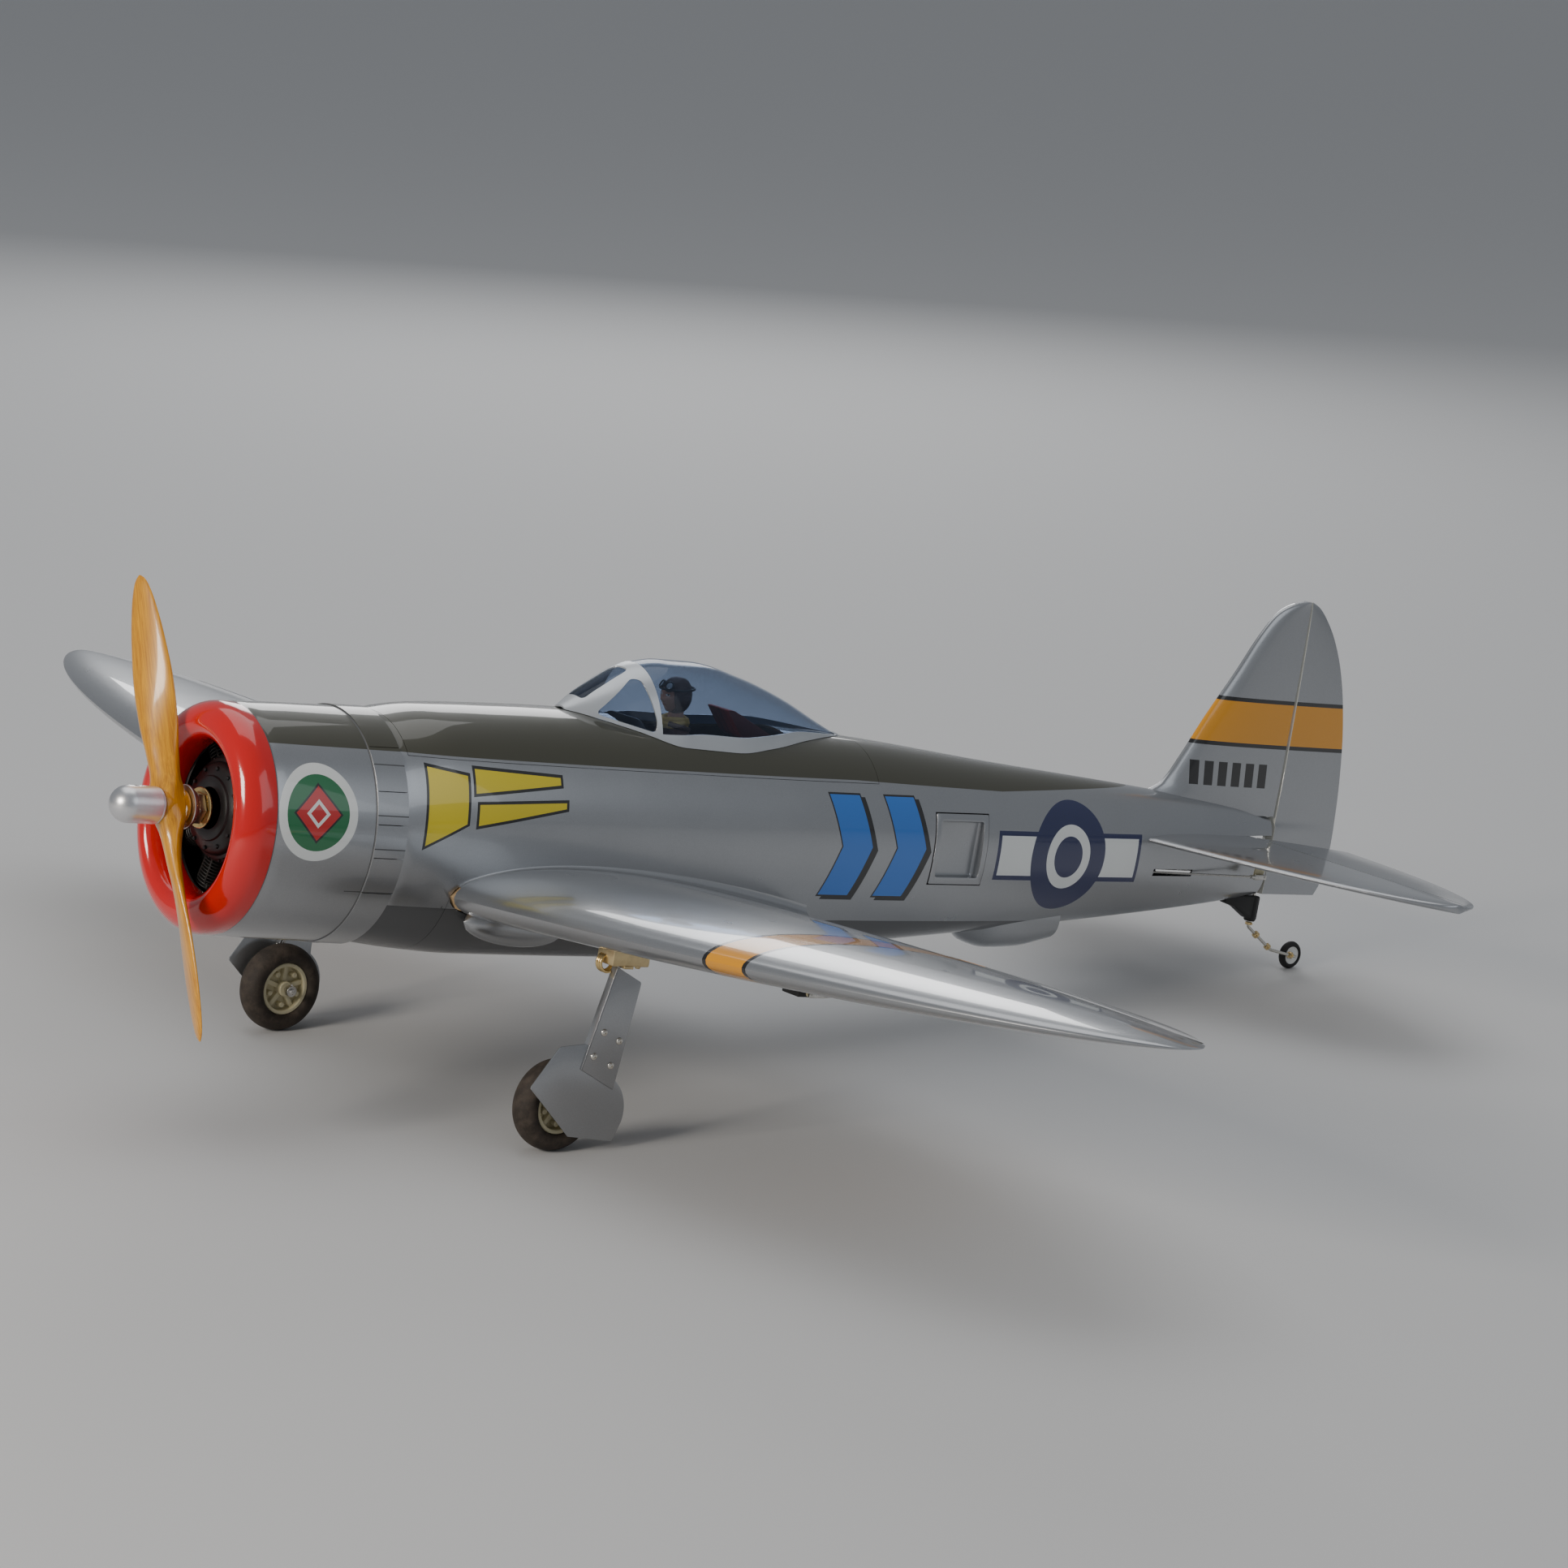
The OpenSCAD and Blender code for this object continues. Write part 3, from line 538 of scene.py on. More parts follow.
class Finish:
    """A material being put together; colours, masks and bumps are added in layers."""

    def __init__(self, name, base, roughness, metallic=0.0, **fixed):
        self.material = bpy.data.materials.new(name)
        self.material.use_nodes = True
        self.tree = self.material.node_tree
        self.tree.nodes.clear()
        out = self.tree.nodes.new('ShaderNodeOutputMaterial')
        self.shader = self.tree.nodes.new('ShaderNodeBsdfPrincipled')
        self.tree.links.new(self.shader.outputs[0], out.inputs[0])
        self.base, self.roughness, self.metallic = base, roughness, metallic
        self.fixed = fixed
        self.high = None
        self.reach = 0.0003
        coords = self.add('ShaderNodeTexCoord', {}, out=3)
        turn = Matrix.Rotation(NOSE_UP, 3, 'X')
        self.place = self.add('ShaderNodeMapping', {'vector_type': 'POINT'}, coords,
                              tuple(-(turn @ HUB_AT)), (NOSE_UP, 0, 0), (1 / MM,) * 3)
        split = self.add('ShaderNodeSeparateXYZ', {}, self.place)
        self.x, self.y, self.z = (Value(self, split.socket.node.outputs[i]) for i in range(3))

    def put(self, socket, value):
        if isinstance(value, Value):
            self.tree.links.new(value.socket, socket)
        elif socket.type == 'RGBA':
            socket.default_value = (*value[:3], 1)
        else:
            socket.default_value = value

    def add(self, kind, settings, *inputs, out=0):
        node = self.tree.nodes.new(kind)
        for key, value in settings.items():
            if key == 'stops':
                ramp = node.color_ramp.elements
                while len(ramp) < len(value):
                    ramp.new(0.5)
                for stop, (at, tone) in zip(ramp, value):
                    stop.position, stop.color = at, (*tone, 1)
            else:
                setattr(node, key, value)
        for socket, value in zip(node.inputs, inputs):
            if value is not None:
                self.put(socket, value)
        return Value(self, node.outputs[out])

    def mix(self, mask, a, b):
        node = self.tree.nodes.new('ShaderNodeMix')
        node.data_type = 'RGBA'
        for i, value in ((0, mask), (6, a), (7, b)):
            self.put(node.inputs[i], value)
        return Value(self, node.outputs[2])

    def noise(self, scale, detail=2.0, stretch=(1, 1, 1), rough=0.5):
        """Cloudy variation from 0 to 1; scale is in cycles per millimetre."""
        at = self.place
        if stretch != (1, 1, 1):
            at = self.add('ShaderNodeMapping', {}, self.place, (0, 0, 0), (0, 0, 0), stretch)
        return self.add('ShaderNodeTexNoise', {}, at, None, scale, detail, rough)

    def cells(self, scale, out=0):
        return self.add('ShaderNodeTexVoronoi', {}, self.place, None, scale, out=out)

    def layer(self, mask, tone, roughness=None, metallic=None):
        self.base = self.mix(mask, self.base, tone)
        if roughness is not None:
            self.roughness = mask * roughness + (1 - mask) * self.roughness
        if metallic is not None:
            self.metallic = mask * metallic + (1 - mask) * self.metallic
        return self

    def shade(self, mask, amount):
        """Darkens or lightens what lies under a mask."""
        self.base = self.add('ShaderNodeHueSaturation', {}, 0.5, 1.0, 1 + (amount - 1) * mask,
                             1.0, self.base)
        return self

    def bump(self, height):
        """Adds relief in millimetres."""
        self.high = height if self.high is None else self.high + height
        return self

    def done(self):
        for name, value in (('Base Color', self.base), ('Roughness', self.roughness),
                            ('Metallic', self.metallic), *self.fixed.items()):
            self.put(self.shader.inputs[name.replace('_', ' ')], value)
        if self.high is not None:
            node = self.tree.nodes.new('ShaderNodeBump')
            node.inputs['Strength'].default_value = 1
            node.inputs['Distance'].default_value = MM
            self.put(node.inputs['Height'], self.high)
            self.tree.links.new(node.outputs[0], self.shader.inputs['Normal'])
        return self.material


BLACK = (0.006, 0.006, 0.007)


def film(name):
    """Silver covering film: fine flake under a clear gloss, drawn slightly tight."""
    f = Finish(name, colours().silver, 0.33, 0.85, Coat_Weight=0.9, Coat_Roughness=0.035)
    flake = f.cells(2.2, out=1)
    grain = f.add('ShaderNodeSeparateXYZ', {}, flake)
    f.shade(grain, 1.12)
    f.shade(f.noise(0.012, 3), 1.08)
    f.roughness = 0.25 + 0.08 * f.noise(0.03, 4)
    f.bump(0.10 * f.noise(0.02, 2) + 0.008 * f.noise(0.6, 2))
    return f


def seams_and_painted_shade(f, mask, depth=0.25, dark=0.45):
    """Panel joints: a fine dark line that is slightly sunk. Given a wide mask, it paints shade over
    a whole area instead.
    """
    f.layer(mask, tuple(c * dark * 0.6 for c in colours().silver), 0.5, 0.4)
    f.bump(mask * -depth)
    return f


def chevron(f, tip, half_long, middle, half_high, lean=0.42, grow=0.0):
    """A bent bar on the fuselage side that points aft."""
    u = f.y + abs(f.z - middle) * lean - tip
    return u.between(-2 * half_long - grow, grow) & f.z.line(middle, half_high + grow)


def streak(f, start, end, wide, grow=0.0):
    """A tapered streak between two (y, z) points; wide gives the half width at each."""
    t = (f.y - start[0]) / (end[0] - start[0])
    centre = t * (end[1] - start[1]) + start[1]
    half = t * (wide[1] - wide[0]) + (wide[0] + grow)
    edge = grow / (end[0] - start[0])
    return t.between(-edge, 1 + edge) & ((abs(f.z - centre) - half) < 0)


def fuselage_film():
    c = colours()
    f = film("fuselage_film")
    seams_and_painted_shade(f, f.y.line(240, 0.5) & (f.z < -60), 0.2)
    # Painted shade: the whole underside is darker, duller and slightly sunk, standing in for shadow
    # and the dark ground it reflects
    seams_and_painted_shade(f, f.z < -62, 0.3)
    edge = 68.5 - f.y.ramp(703, 900, 0, 5) + f.y.ramp(900, 1112, 0, 7)
    f.layer((f.z > edge) & (f.y < 1114), c.olive, 0.42, 0.0)
    for start, end, wide in (((206, 26), (246, 34), (33, 20)), ((254, 50), (346, 54), (10, 3)),
                             ((258, 22), (352, 34), (9, 2.5))):
        f.layer(streak(f, start, end, wide, 2.6), BLACK, 0.3, 0.0)
        f.layer(streak(f, start, end, wide), c.lemon, 0.3, 0.0)
    for tip in (721, 792):
        f.layer(chevron(f, tip + 6, 19, 7, 46, grow=1.5), BLACK, 0.3, 0.0)
        f.layer(chevron(f, tip, 19, 10, 46, grow=1.7), BLACK, 0.3, 0.0)
        f.layer(chevron(f, tip, 19, 10, 46), c.blue, 0.3, 0.0)
    low = f.y - 993
    up = f.z - 5.5
    away = (low * low + up * up) ** 0.5
    f.layer(f.y.line(994.5, 104) & f.z.line(5.5, 23.5), c.navy, 0.25, 0.0)
    f.layer(f.y.line(994.5, 99.5) & f.z.line(5.5, 19), c.white, 0.3, 0.0)
    f.layer(away < 53, c.navy, 0.25, 0.0)
    f.layer(away.between(20, 31), c.white, 0.3, 0.0)
    return f.done()


def plain_film(name):
    return film(name).done()


# The cowl is an upright oval whose middle lies below the propeller's axis
COWL_WIDE, COWL_HIGH = 0.87, -8
COWL_OVAL = Matrix.Scale(COWL_WIDE, 4, (1, 0, 0))
AT_COWL = shifted(0, 0, COWL_HIGH)
RED_UNTIL = 50


def cowl_film():
    c = colours()
    f = film("cowl_film")
    out = f.x / COWL_WIDE
    from_axis = (out * out + (f.z - COWL_HIGH) * (f.z - COWL_HIGH)) ** 0.5
    f.layer(f.z > 68.5, c.olive, 0.40, 0.0)
    low, up = f.y - 91, f.z - 16
    away = (low * low + up * up) ** 0.5
    side = abs(f.x) > 40
    f.layer((away < 40) & side, c.white, 0.3, 0.0)
    f.layer((away < 31.5) & side, (0.005, 0.16, 0.05), 0.3, 0.0)
    diamond = abs(low) + abs(up)
    f.layer((diamond < 25) & side, BLACK, 0.3, 0.0)
    f.layer((diamond < 22.5) & side, (0.55, 0.01, 0.01), 0.3, 0.0)
    f.layer(diamond.between(8, 12) & side, c.white, 0.3, 0.0)
    for at in (58, 17.5, -11, -50):
        seams_and_painted_shade(f, f.z.line(at, 0.5) & (f.y > 151 - 18 * (f.z < -30)) & side, 0.25)
    seams_and_painted_shade(f, f.y.line(150.2, 0.6), 0.25)
    f.layer(f.y < RED_UNTIL, c.red, 0.16, 0.0)
    seams_and_painted_shade(f, f.y.line(RED_UNTIL, 0.45), 0.3)
    # Painted shade: the inside of the cowl behind the lip is near black, standing in for the shadow
    # in the opening
    inner = (f.y > 54) & ((from_axis - f.y * 0.022) < 97.3)
    f.layer(inner, (0.02, 0.02, 0.021), 0.6, 0.0)
    return f.done()


def wing_film():
    c = colours()
    f = film("wing_film")
    out = abs(f.x)
    f.layer(out.line(423, 23.5), BLACK, 0.25, 0.0)
    f.layer(out.line(423, 19.5), c.yellow, 0.25, 0.0)
    seams_and_painted_shade(f, out.line(330, 0.45) & (f.y > 560), 0.15, 0.7)
    seams_and_painted_shade(f, f.y.line(566, 0.45) & (out < 330), 0.15, 0.7)
    return f.done()


def fin_film():
    c = colours()
    f = film("fin_film")
    f.layer(f.z.line(140.5, 24.5), BLACK, 0.25, 0.0)
    f.layer(f.z.line(140.5, 20.5), c.yellow, 0.25, 0.0)
    slant = f.y + (f.z - 88) * 0.1 - 1182
    f.layer(slant.between(0, 112) & (slant.repeat(19) < 12) & f.z.line(88, 12), BLACK, 0.3, 0.0)
    # Painted highlight: the rudder's bevelled leading edge at the hinge is painted pale, standing
    # in for light falling on it from behind
    f.layer((f.y - 1312).between(0, 14) & (abs(f.x) < 7.4) & ((f.y - 1312) < abs(f.x) * 0.52 + 0.8),
            (0.75, 0.74, 0.66), 0.4, 0.0)
    return f.done()


# Painted highlight: pale cream for the thin strip in the fin and rudder gap, standing in for the
# light seen along the hinge
def pale_gap_highlight():
    f = Finish("hinge_gap_painted_highlight", (0.78, 0.77, 0.68), 0.35, 0.0, Coat_Weight=0.3)
    f.shade(f.noise(0.1, 3), 0.9)
    f.bump(0.05 * f.noise(0.2))
    return f.done()


def stained_wood():
    c = colours()
    f = Finish("stained_wood", c.wood, 0.3, 0.0, Coat_Weight=0.7, Coat_Roughness=0.08)
    turn = f.add('ShaderNodeMapping', {}, f.place, (0, 0, 0), (0, PROPELLER_TURN, 0), (1, 1, 1))
    grain = f.add('ShaderNodeMapping', {}, turn, (0, 0, 0), (0, 0, 0), (0.55, 0.55, 0.012))
    fibres = f.add('ShaderNodeTexNoise', {}, grain, None, 1.0, 5.0, 0.65)
    rings = f.add('ShaderNodeTexNoise', {}, grain, None, 0.22, 2.0, 0.5).repeat(0.08) / 0.08
    f.base = f.mix(fibres.ramp(0.38, 0.68), c.wood, tuple(v * k for v,
                                                          k in zip(c.wood, (0.62, 0.5, 0.6))))
    f.shade(rings, 0.86)
    split = f.add('ShaderNodeSeparateXYZ', {}, turn)
    across = Value(f, split.socket.node.outputs[2])
    f.shade(abs(across).ramp(16, 34, 1, 0), 0.86)
    f.roughness = 0.26 + 0.14 * fibres
    f.bump(0.05 * fibres)
    return f.done()


def turned_metal(name, base=(0.78, 0.78, 0.79), rough=0.26, axis='y', tone=0.93):
    f = Finish(name, base, rough, 1.0)
    lines = f.noise(1.0, 2, {'x': (3, .02, .02), 'y': (.02, 3, .02), 'z': (.02, .02, 3)}[axis])
    f.shade(lines, tone)
    f.roughness = rough + 0.14 * lines + 0.06 * f.noise(0.08, 3)
    f.bump(0.012 * lines)
    return f.done()


def plated(name, base, rough=0.22):
    f = Finish(name, base, rough, 1.0)
    f.shade(f.noise(0.15, 4).ramp(0.4, 0.8), 0.8)
    f.roughness = rough + 0.12 * f.noise(0.3, 3)
    f.bump(0.02 * f.noise(0.5, 2))
    return f.done()


def moulded(name, base, rough=0.45, mottle=0.12, fine=0.03, **fixed):
    """Moulded plastic with a slight mottle and a fine satin texture."""
    f = Finish(name, base, rough, 0.0, **fixed)
    f.shade(f.noise(0.06, 3), 1 - mottle)
    f.roughness = rough + 0.12 * f.noise(0.2, 4)
    f.bump(fine * f.noise(1.4, 2))
    return f.done()


def rubber():
    c = colours()
    f = Finish("tyre_rubber", c.rubber, 0.78, 0.0)
    dust = f.noise(0.09, 5, rough=0.7).ramp(0.42, 0.75)
    f.base = f.mix(dust, c.rubber, tuple(v * 2.6 + 0.01 for v in c.rubber))
    f.roughness = 0.7 + 0.2 * dust
    f.bump(0.25 * f.noise(0.7, 4, rough=0.7) + 0.1 * f.noise(0.15, 2))
    return f.done()


def bare_ply():
    f = Finish("bare_plywood", (0.55, 0.38, 0.20), 0.6, 0.0)
    grain = f.noise(0.5, 4, (1, 0.04, 1))
    f.base = f.mix(grain, (0.60, 0.43, 0.24), (0.42, 0.27, 0.13))
    f.bump(0.06 * grain)
    return f.done()


def clear_plastic():
    """Clear smoked plastic: see-through, with gloss that grows at the edges."""
    f = Finish("clear_canopy", (0.07, 0.09, 0.13), 0.05, 0.0, Coat_Weight=1.0, Coat_Roughness=0.02)
    f.roughness = 0.03 + 0.05 * f.noise(0.05, 3)
    facing = f.add('ShaderNodeLayerWeight', {}, 0.35, out=1)
    amount = 0.10 + 0.5 * facing ** 1.8 + 0.04 * f.noise(0.03, 3)
    material = f.done()
    through = f.tree.nodes.new('ShaderNodeBsdfTransparent')
    through.inputs[0].default_value = (0.78, 0.84, 0.93, 1)
    blend = f.tree.nodes.new('ShaderNodeMixShader')
    f.put(blend.inputs[0], amount)
    f.tree.links.new(through.outputs[0], blend.inputs[1])
    f.tree.links.new(f.shader.outputs[0], blend.inputs[2])
    out = next(n for n in f.tree.nodes if n.type == 'OUTPUT_MATERIAL')
    f.tree.links.new(blend.outputs[0], out.inputs[0])
    return material


def painted_pilot():
    """Hand-painted bust: leather helmet and jacket, yellow scarf, plain face."""
    f = Finish("painted_pilot", (0.52, 0.25, 0.15), 0.5, 0.0)
    f.shade(f.noise(0.4, 3), 0.88)
    f.shade(f.z.ramp(113, 120, 1, 0) & (f.y < 522), 0.92)
    for side in (-1, 1):
        dx, dz = f.x - side * 4.5, f.z - 125.2
        f.layer(((dx * dx) / 4.2 + (dz * dz) / 0.9 < 1) & (f.y < 519), (0.62, 0.60, 0.55), 0.3)
        f.layer(((dx * dx) + (dz * dz) < 0.75) & (f.y < 519), (0.03, 0.015, 0.008), 0.25)
        f.layer((((dx * dx) / 7) + ((f.z - 128.4) * (f.z - 128.4)) / 0.35 < 1) & (f.y < 519),
                (0.07, 0.03, 0.015), 0.6)
    lip = f.x * f.x / 9 + (f.z - 116.2) * (f.z - 116.2) / 0.7
    f.layer((lip < 1) & (f.y < 516), (0.42, 0.13, 0.09), 0.4)
    f.bump(0.05 * f.noise(0.8, 3))
    return f.done()


# ---------- pieces ----------

def sheet(name, x, outline, thick, rounded=0.0):
    """A flat piece with its outline in Y and Z."""
    return plate(name, [(x, y, z) for y, z in outline], (thick, 0, 0), rounded)


def beam(y0, y1, x0, x1, z0, z1, matrix=Matrix()):
    """A plain cutting box, given by its limits in Y, X and Z."""
    return moved(block("tool", (x0, y0, z0), (x1, y1, z1)), matrix)


def slab(points, half=120):
    """A cutting solid from an outline in Y and Z, from side to side."""
    return sheet("tool", -half, points, 2 * half)


def wing_outline(grow):
    ys = [wing_lead(ROOT) + (wing_trail(ROOT) - wing_lead(ROOT)) * (1 - cos(pi * i / 24)) / 2
          for i in range(25)]
    top = [(y, wing_surface(ROOT, y) + grow) for y in ys]
    low = [(y, wing_surface(ROOT, y, -1) - 0.4) for y in ys]
    return top, low


EXHAUST = shifted(58, 838, 10) @ spun(radians(5), 'Z')


class WARBIRD_OT_fuselage(bpy.types.Operator):
    """Skins the fuselage, and parts the hatch and the belly pan from it"""
    bl_idname = "warbird.fuselage"
    bl_label = "Fuselage"

    def execute(self, context):
        s = sizes()
        skin, seam = s.skin / MM, s.seam / MM
        ys = steps(188, 1310, 132)
        # The inner skin starts before the open front and stops short of the closed tail
        inside = [180] + ys[1:-8] + [1260 + 5 * i for i in range(8)]
        wall = walled("wall", [fuselage_ring(y) for y in ys],
                      [fuselage_ring(y, skin) for y in inside])
        film_coat = fuselage_film()
        top, low = wing_outline(seam)

        hatch = copied(wall, "top_hatch_skin")
        cut(hatch, beam(HATCH_FRONT + seam, HATCH_AFT - seam, -120, 120, HATCH_LOW + seam, 130),
            'INTERSECT')
        cut(hatch, lofted("tool", [canopy_ring(y, -7) for y in steps(440, 640, 16)]))
        settled(facing_out(hatch), 'hatch', film_coat, ['top_hatch'])

        belly = copied(wall, "belly_pan_skin")
        cut(belly, slab(low + [(wing_trail(ROOT), -200), (wing_lead(ROOT), -200)]), 'INTERSECT')
        settled(facing_out(belly), 'airframe', film_coat, ['belly_pan'])

        cut(wall, beam(HATCH_FRONT, HATCH_AFT, -120, 120, HATCH_LOW, 130))
        y0, y1 = wing_lead(ROOT) - seam, wing_trail(ROOT) + seam
        cut(wall, slab([(y0, -200), (y0, top[0][1])] + top + [(y1, top[-1][1]), (y1, -200)]))
        for m in (Matrix(), MIRROR):
            cut(wall, moved(beam(-37, 37, -1, 20, -34, 34, EXHAUST), m))
        cut(wall, beam(1124, 1184, 30, 60, -11.5, -4.5))
        cut(wall, beam(1196, 1262, -56, -22, -20, -13))
        cut(wall, beam(ELEVATOR_AT - 7, 1330, -60, 60, TAIL_HIGH - 5.5, TAIL_HIGH + 5.5))
        wall.name = wall.data.name = "fuselage_skin"
        settled(facing_out(wall), 'airframe', film_coat, ['fuselage_shell'])
        return {'FINISHED'}


class WARBIRD_OT_fairings(bpy.types.Operator):
    """Adds the exhaust recesses, the belly scoop and the fairings at the wing root"""
    bl_idname = "warbird.fairings"
    bl_label = "Fairings"

    def execute(self, context):
        silver = plain_film("fairing_film")
        frame_block = block("frame", (0, -35.8, -33), (16, 35.8, 33), 1.2)
        cut(frame_block, block("tool", (2.2, -29.5, -26.5), (30, 29.5, 26.5), 3, 4))
        moved(frame_block, EXHAUST)
        ys = steps(780, 900, 12)
        cut(frame_block, lofted("tool", [fuselage_ring(y, -0.8) for y in ys]), 'INTERSECT')
        frames = both(bevelled(frame_block, 0.7, 2, 50), "exhaust_recesses")
        settled(frames, 'airframe', silver, ['exhaust_frames'])

        deep = smooth((908, -80), (925, -91), (945, -95), (980, -93), (1017, -84))
        wide = smooth((908, 3), (925, 23), (945, 32), (980, 34), (1017, 34))

        def ring(y, inset):
            drop = deep(y) + inset + 60
            return [((wide(y) - inset) * power(cos(a), 0.8), y, -60 + drop * -power(sin(a), 0.8))
                    for a in turns(40)]

        ys = steps(908, 1017, 30)
        scoop = lofted("belly_scoop_skin", [ring(y, 0) for y in ys])
        cut(scoop, lofted("tool", [ring(y, 2) for y in steps(975, 1030, 8)]))
        cut(scoop, lofted("tool", [fuselage_ring(y, 0.3) for y in steps(880, 1040, 20)]))
        settled(facing_out(scoop), 'airframe', silver, ['belly_scoop'])

        # A concave fillet where the wing meets the fuselage side
        rings = []
        for y in steps(wing_lead(ROOT) + 6, wing_trail(ROOT) - 1, 60):
            t = (y - wing_lead(ROOT)) / (wing_trail(ROOT) - wing_lead(ROOT))
            r = (sizes().fillet / MM) * (0.12 + 0.88 * t ** 1.6)
            foot = wing_surface(ROOT, y)
            edge = fuselage_side(y, foot + r)
            side = max(fuselage_side(y, foot), 1)
            reach = max(edge, ROOT) + r
            a, b = Vector((edge - 0.2, y, foot + r)), Vector((reach, y,
                                                              wing_surface(reach, y) - 0.05))
            m = Vector((side, y, foot))
            arc = [a * (1 - u) ** 2 + m * 2 * u * (1 - u) + b * u * u for u in steps(0, 1, 10)]
            rings.append([tuple(p) for p in arc] + [(side - 1.2, y, foot - 0.8)])
        fillet = lofted("wing_fillets", rings)
        settled(both(fillet, "wing_fillets"), 'airframe', silver)

        # The rounded blister below the leading edge at each root
        rings = []
        for t in steps(0, 1, 24):
            y = 262 + 108 * t
            r = sqrt(max(1 - (2 * t - 1) ** 2, 0.0004))
            rings.append([(84 + 15 * r * cos(a), y, -72 + 17 * r * sin(a) - 6 * t)
                          for a in turns(24)])
        settled(both(lofted("blister", rings), "root_blisters"), 'airframe', silver)
        return {'FINISHED'}


class WARBIRD_OT_cowl(bpy.types.Operator):
    """Spins the cowl with its rolled lip, and parts the cowl flaps"""
    bl_idname = "warbird.cowl"
    bl_label = "Cowl"

    def execute(self, context):
        proud = sizes().flap_step / MM
        lip = [(79.5 + (20 if a < pi / 2 else 15) * cos(a), 41 - 22 * sin(a))
               for a in steps(0, pi, 30)]
        outer = [(103 + proud * 0.4, 183), (102 + proud, 151), (101.8, 150.2), (101.6, 130),
                 (101, 90), (100, 62), (99.7, 52), (99.4, 50.4), (99.5, 49.6)]
        inner = [(64.2, 47), (66, 53), (70, 47), (76, 41), (83, 41), (92, 50), (97, 66), (98.5, 92),
                 (99.5, 150), (100.8, 183)]
        cowl = turned("cowl_shell", outer + lip + inner, 128, (0, 0, COWL_HIGH))
        tools = []
        for side in (-1, 1):
            for angle in (50, 26, 10, -6, -24.5):
                turn = spun(radians(-side * angle), 'Y')
                low, high = sorted((side * 98, side * 120))
                tools.append(beam(152, 190, low, high, -0.35, 0.35, AT_COWL @ turn))
        cut(cowl, joined("tool", tools))
        moved(cowl, COWL_OVAL)
        settled(facing_out(cowl), 'airframe', cowl_film(), ['cowl'])
        return {'FINISHED'}


class WARBIRD_OT_engine(bpy.types.Operator):
    """Builds the dummy radial and the black baffle behind it"""
    bl_idname = "warbird.engine"
    bl_label = "Engine"

    def execute(self, context):
        black = moulded("engine_black", (0.012, 0.012, 0.013), 0.32, 0.3, 0.05)
        finned = moulded("fin_black", (0.020, 0.019, 0.018), 0.4, 0.3, 0.04)
        profile = [(18, 42), (18, 39), (24, 38), (27, 39.2), (28, 41), (36, 43), (39, 46),
                   (40, 49), (42.5, 50), (42.5, 53), (45, 54.5), (46, 58), (46, 72), (43, 76),
                   (18, 77), (18, 60)]
        case = turned("crankcase", profile, 72)
        bolt = turned("bolt", [(0.001, 0), (1.9, 0), (1.9, -1.6), (1.3, -2.2), (0.001, -2.2)], 6,
                      closed=False)
        bolts = []
        for i in range(12):
            m = spun(2 * pi * i / 12, 'Y') @ shifted(34, 43, 0)
            bolts.append(copied(bolt, "bolt_a", m))
        for i in range(18):
            m = spun(2 * pi * i / 18, 'Y') @ shifted(44, 54, 0) @ Matrix.Scale(0.7, 4)
            bolts.append(copied(bolt, "bolt_b", m))
        bpy.data.objects.remove(bolt)
        settled(joined("crankcase", [case] + bolts), 'airframe', black,
                ['dummy_crankcase'])

        count = sizes().fins
        profile = [(0.001, 44), (9.5, 44)]
        for i in range(count):
            z = 46.5 + i * 30 / count
            r = 12.2 - 0.06 * i
            profile += [(8.6, z), (r - 0.3, z + 0.25), (r, z + 0.7), (r - 0.3, z + 1.15),
                        (8.6, z + 1.4)]
        profile += [(8, 77.5), (0.001, 78)]
        barrel = turned("barrel", profile, 28, axis='Z', closed=False)
        heads = [barrel]
        for side in (-1, 1):
            m = shifted(side * 5.5, -2, 73.2) @ spun(radians(side * 22), 'Y')
            heads.append(moved(block("rocker", (-3.2, -6, -3), (3.2, 6, 4), 1.4, 3), m))
            heads.append(wire("pushrod", [(side * 4.2, -9.5, 44), (side * 5.8, -9, 70)], 1.3))
            heads.append(turned("plug", [(0.001, -2), (1.6, -2), (1.6, 2), (0.9, 2.6), (0.9, 5),
                                         (0.001, 5.2)], 10, (side * 7, 8, 67), 'Z', False))
        one = joined("cylinder", heads)
        ring = [copied(one, "cylinder_%d" % i, spun(radians(40 * i), 'Y') @ shifted(0, 70, 0))
                for i in range(9)]
        bpy.data.objects.remove(one)
        settled(joined("cylinders", ring), 'airframe', finned, ['dummy_cylinders'])

        baffle = turned("engine_baffle", [(40, 80), (90, 80), (92, 82), (92, 84), (40, 84)], 72)
        moved(baffle, AT_COWL @ COWL_OVAL)
        settled(baffle, 'airframe', moulded("baffle_black", (0.008, 0.008, 0.008),
                                                            0.7))
        return {'FINISHED'}


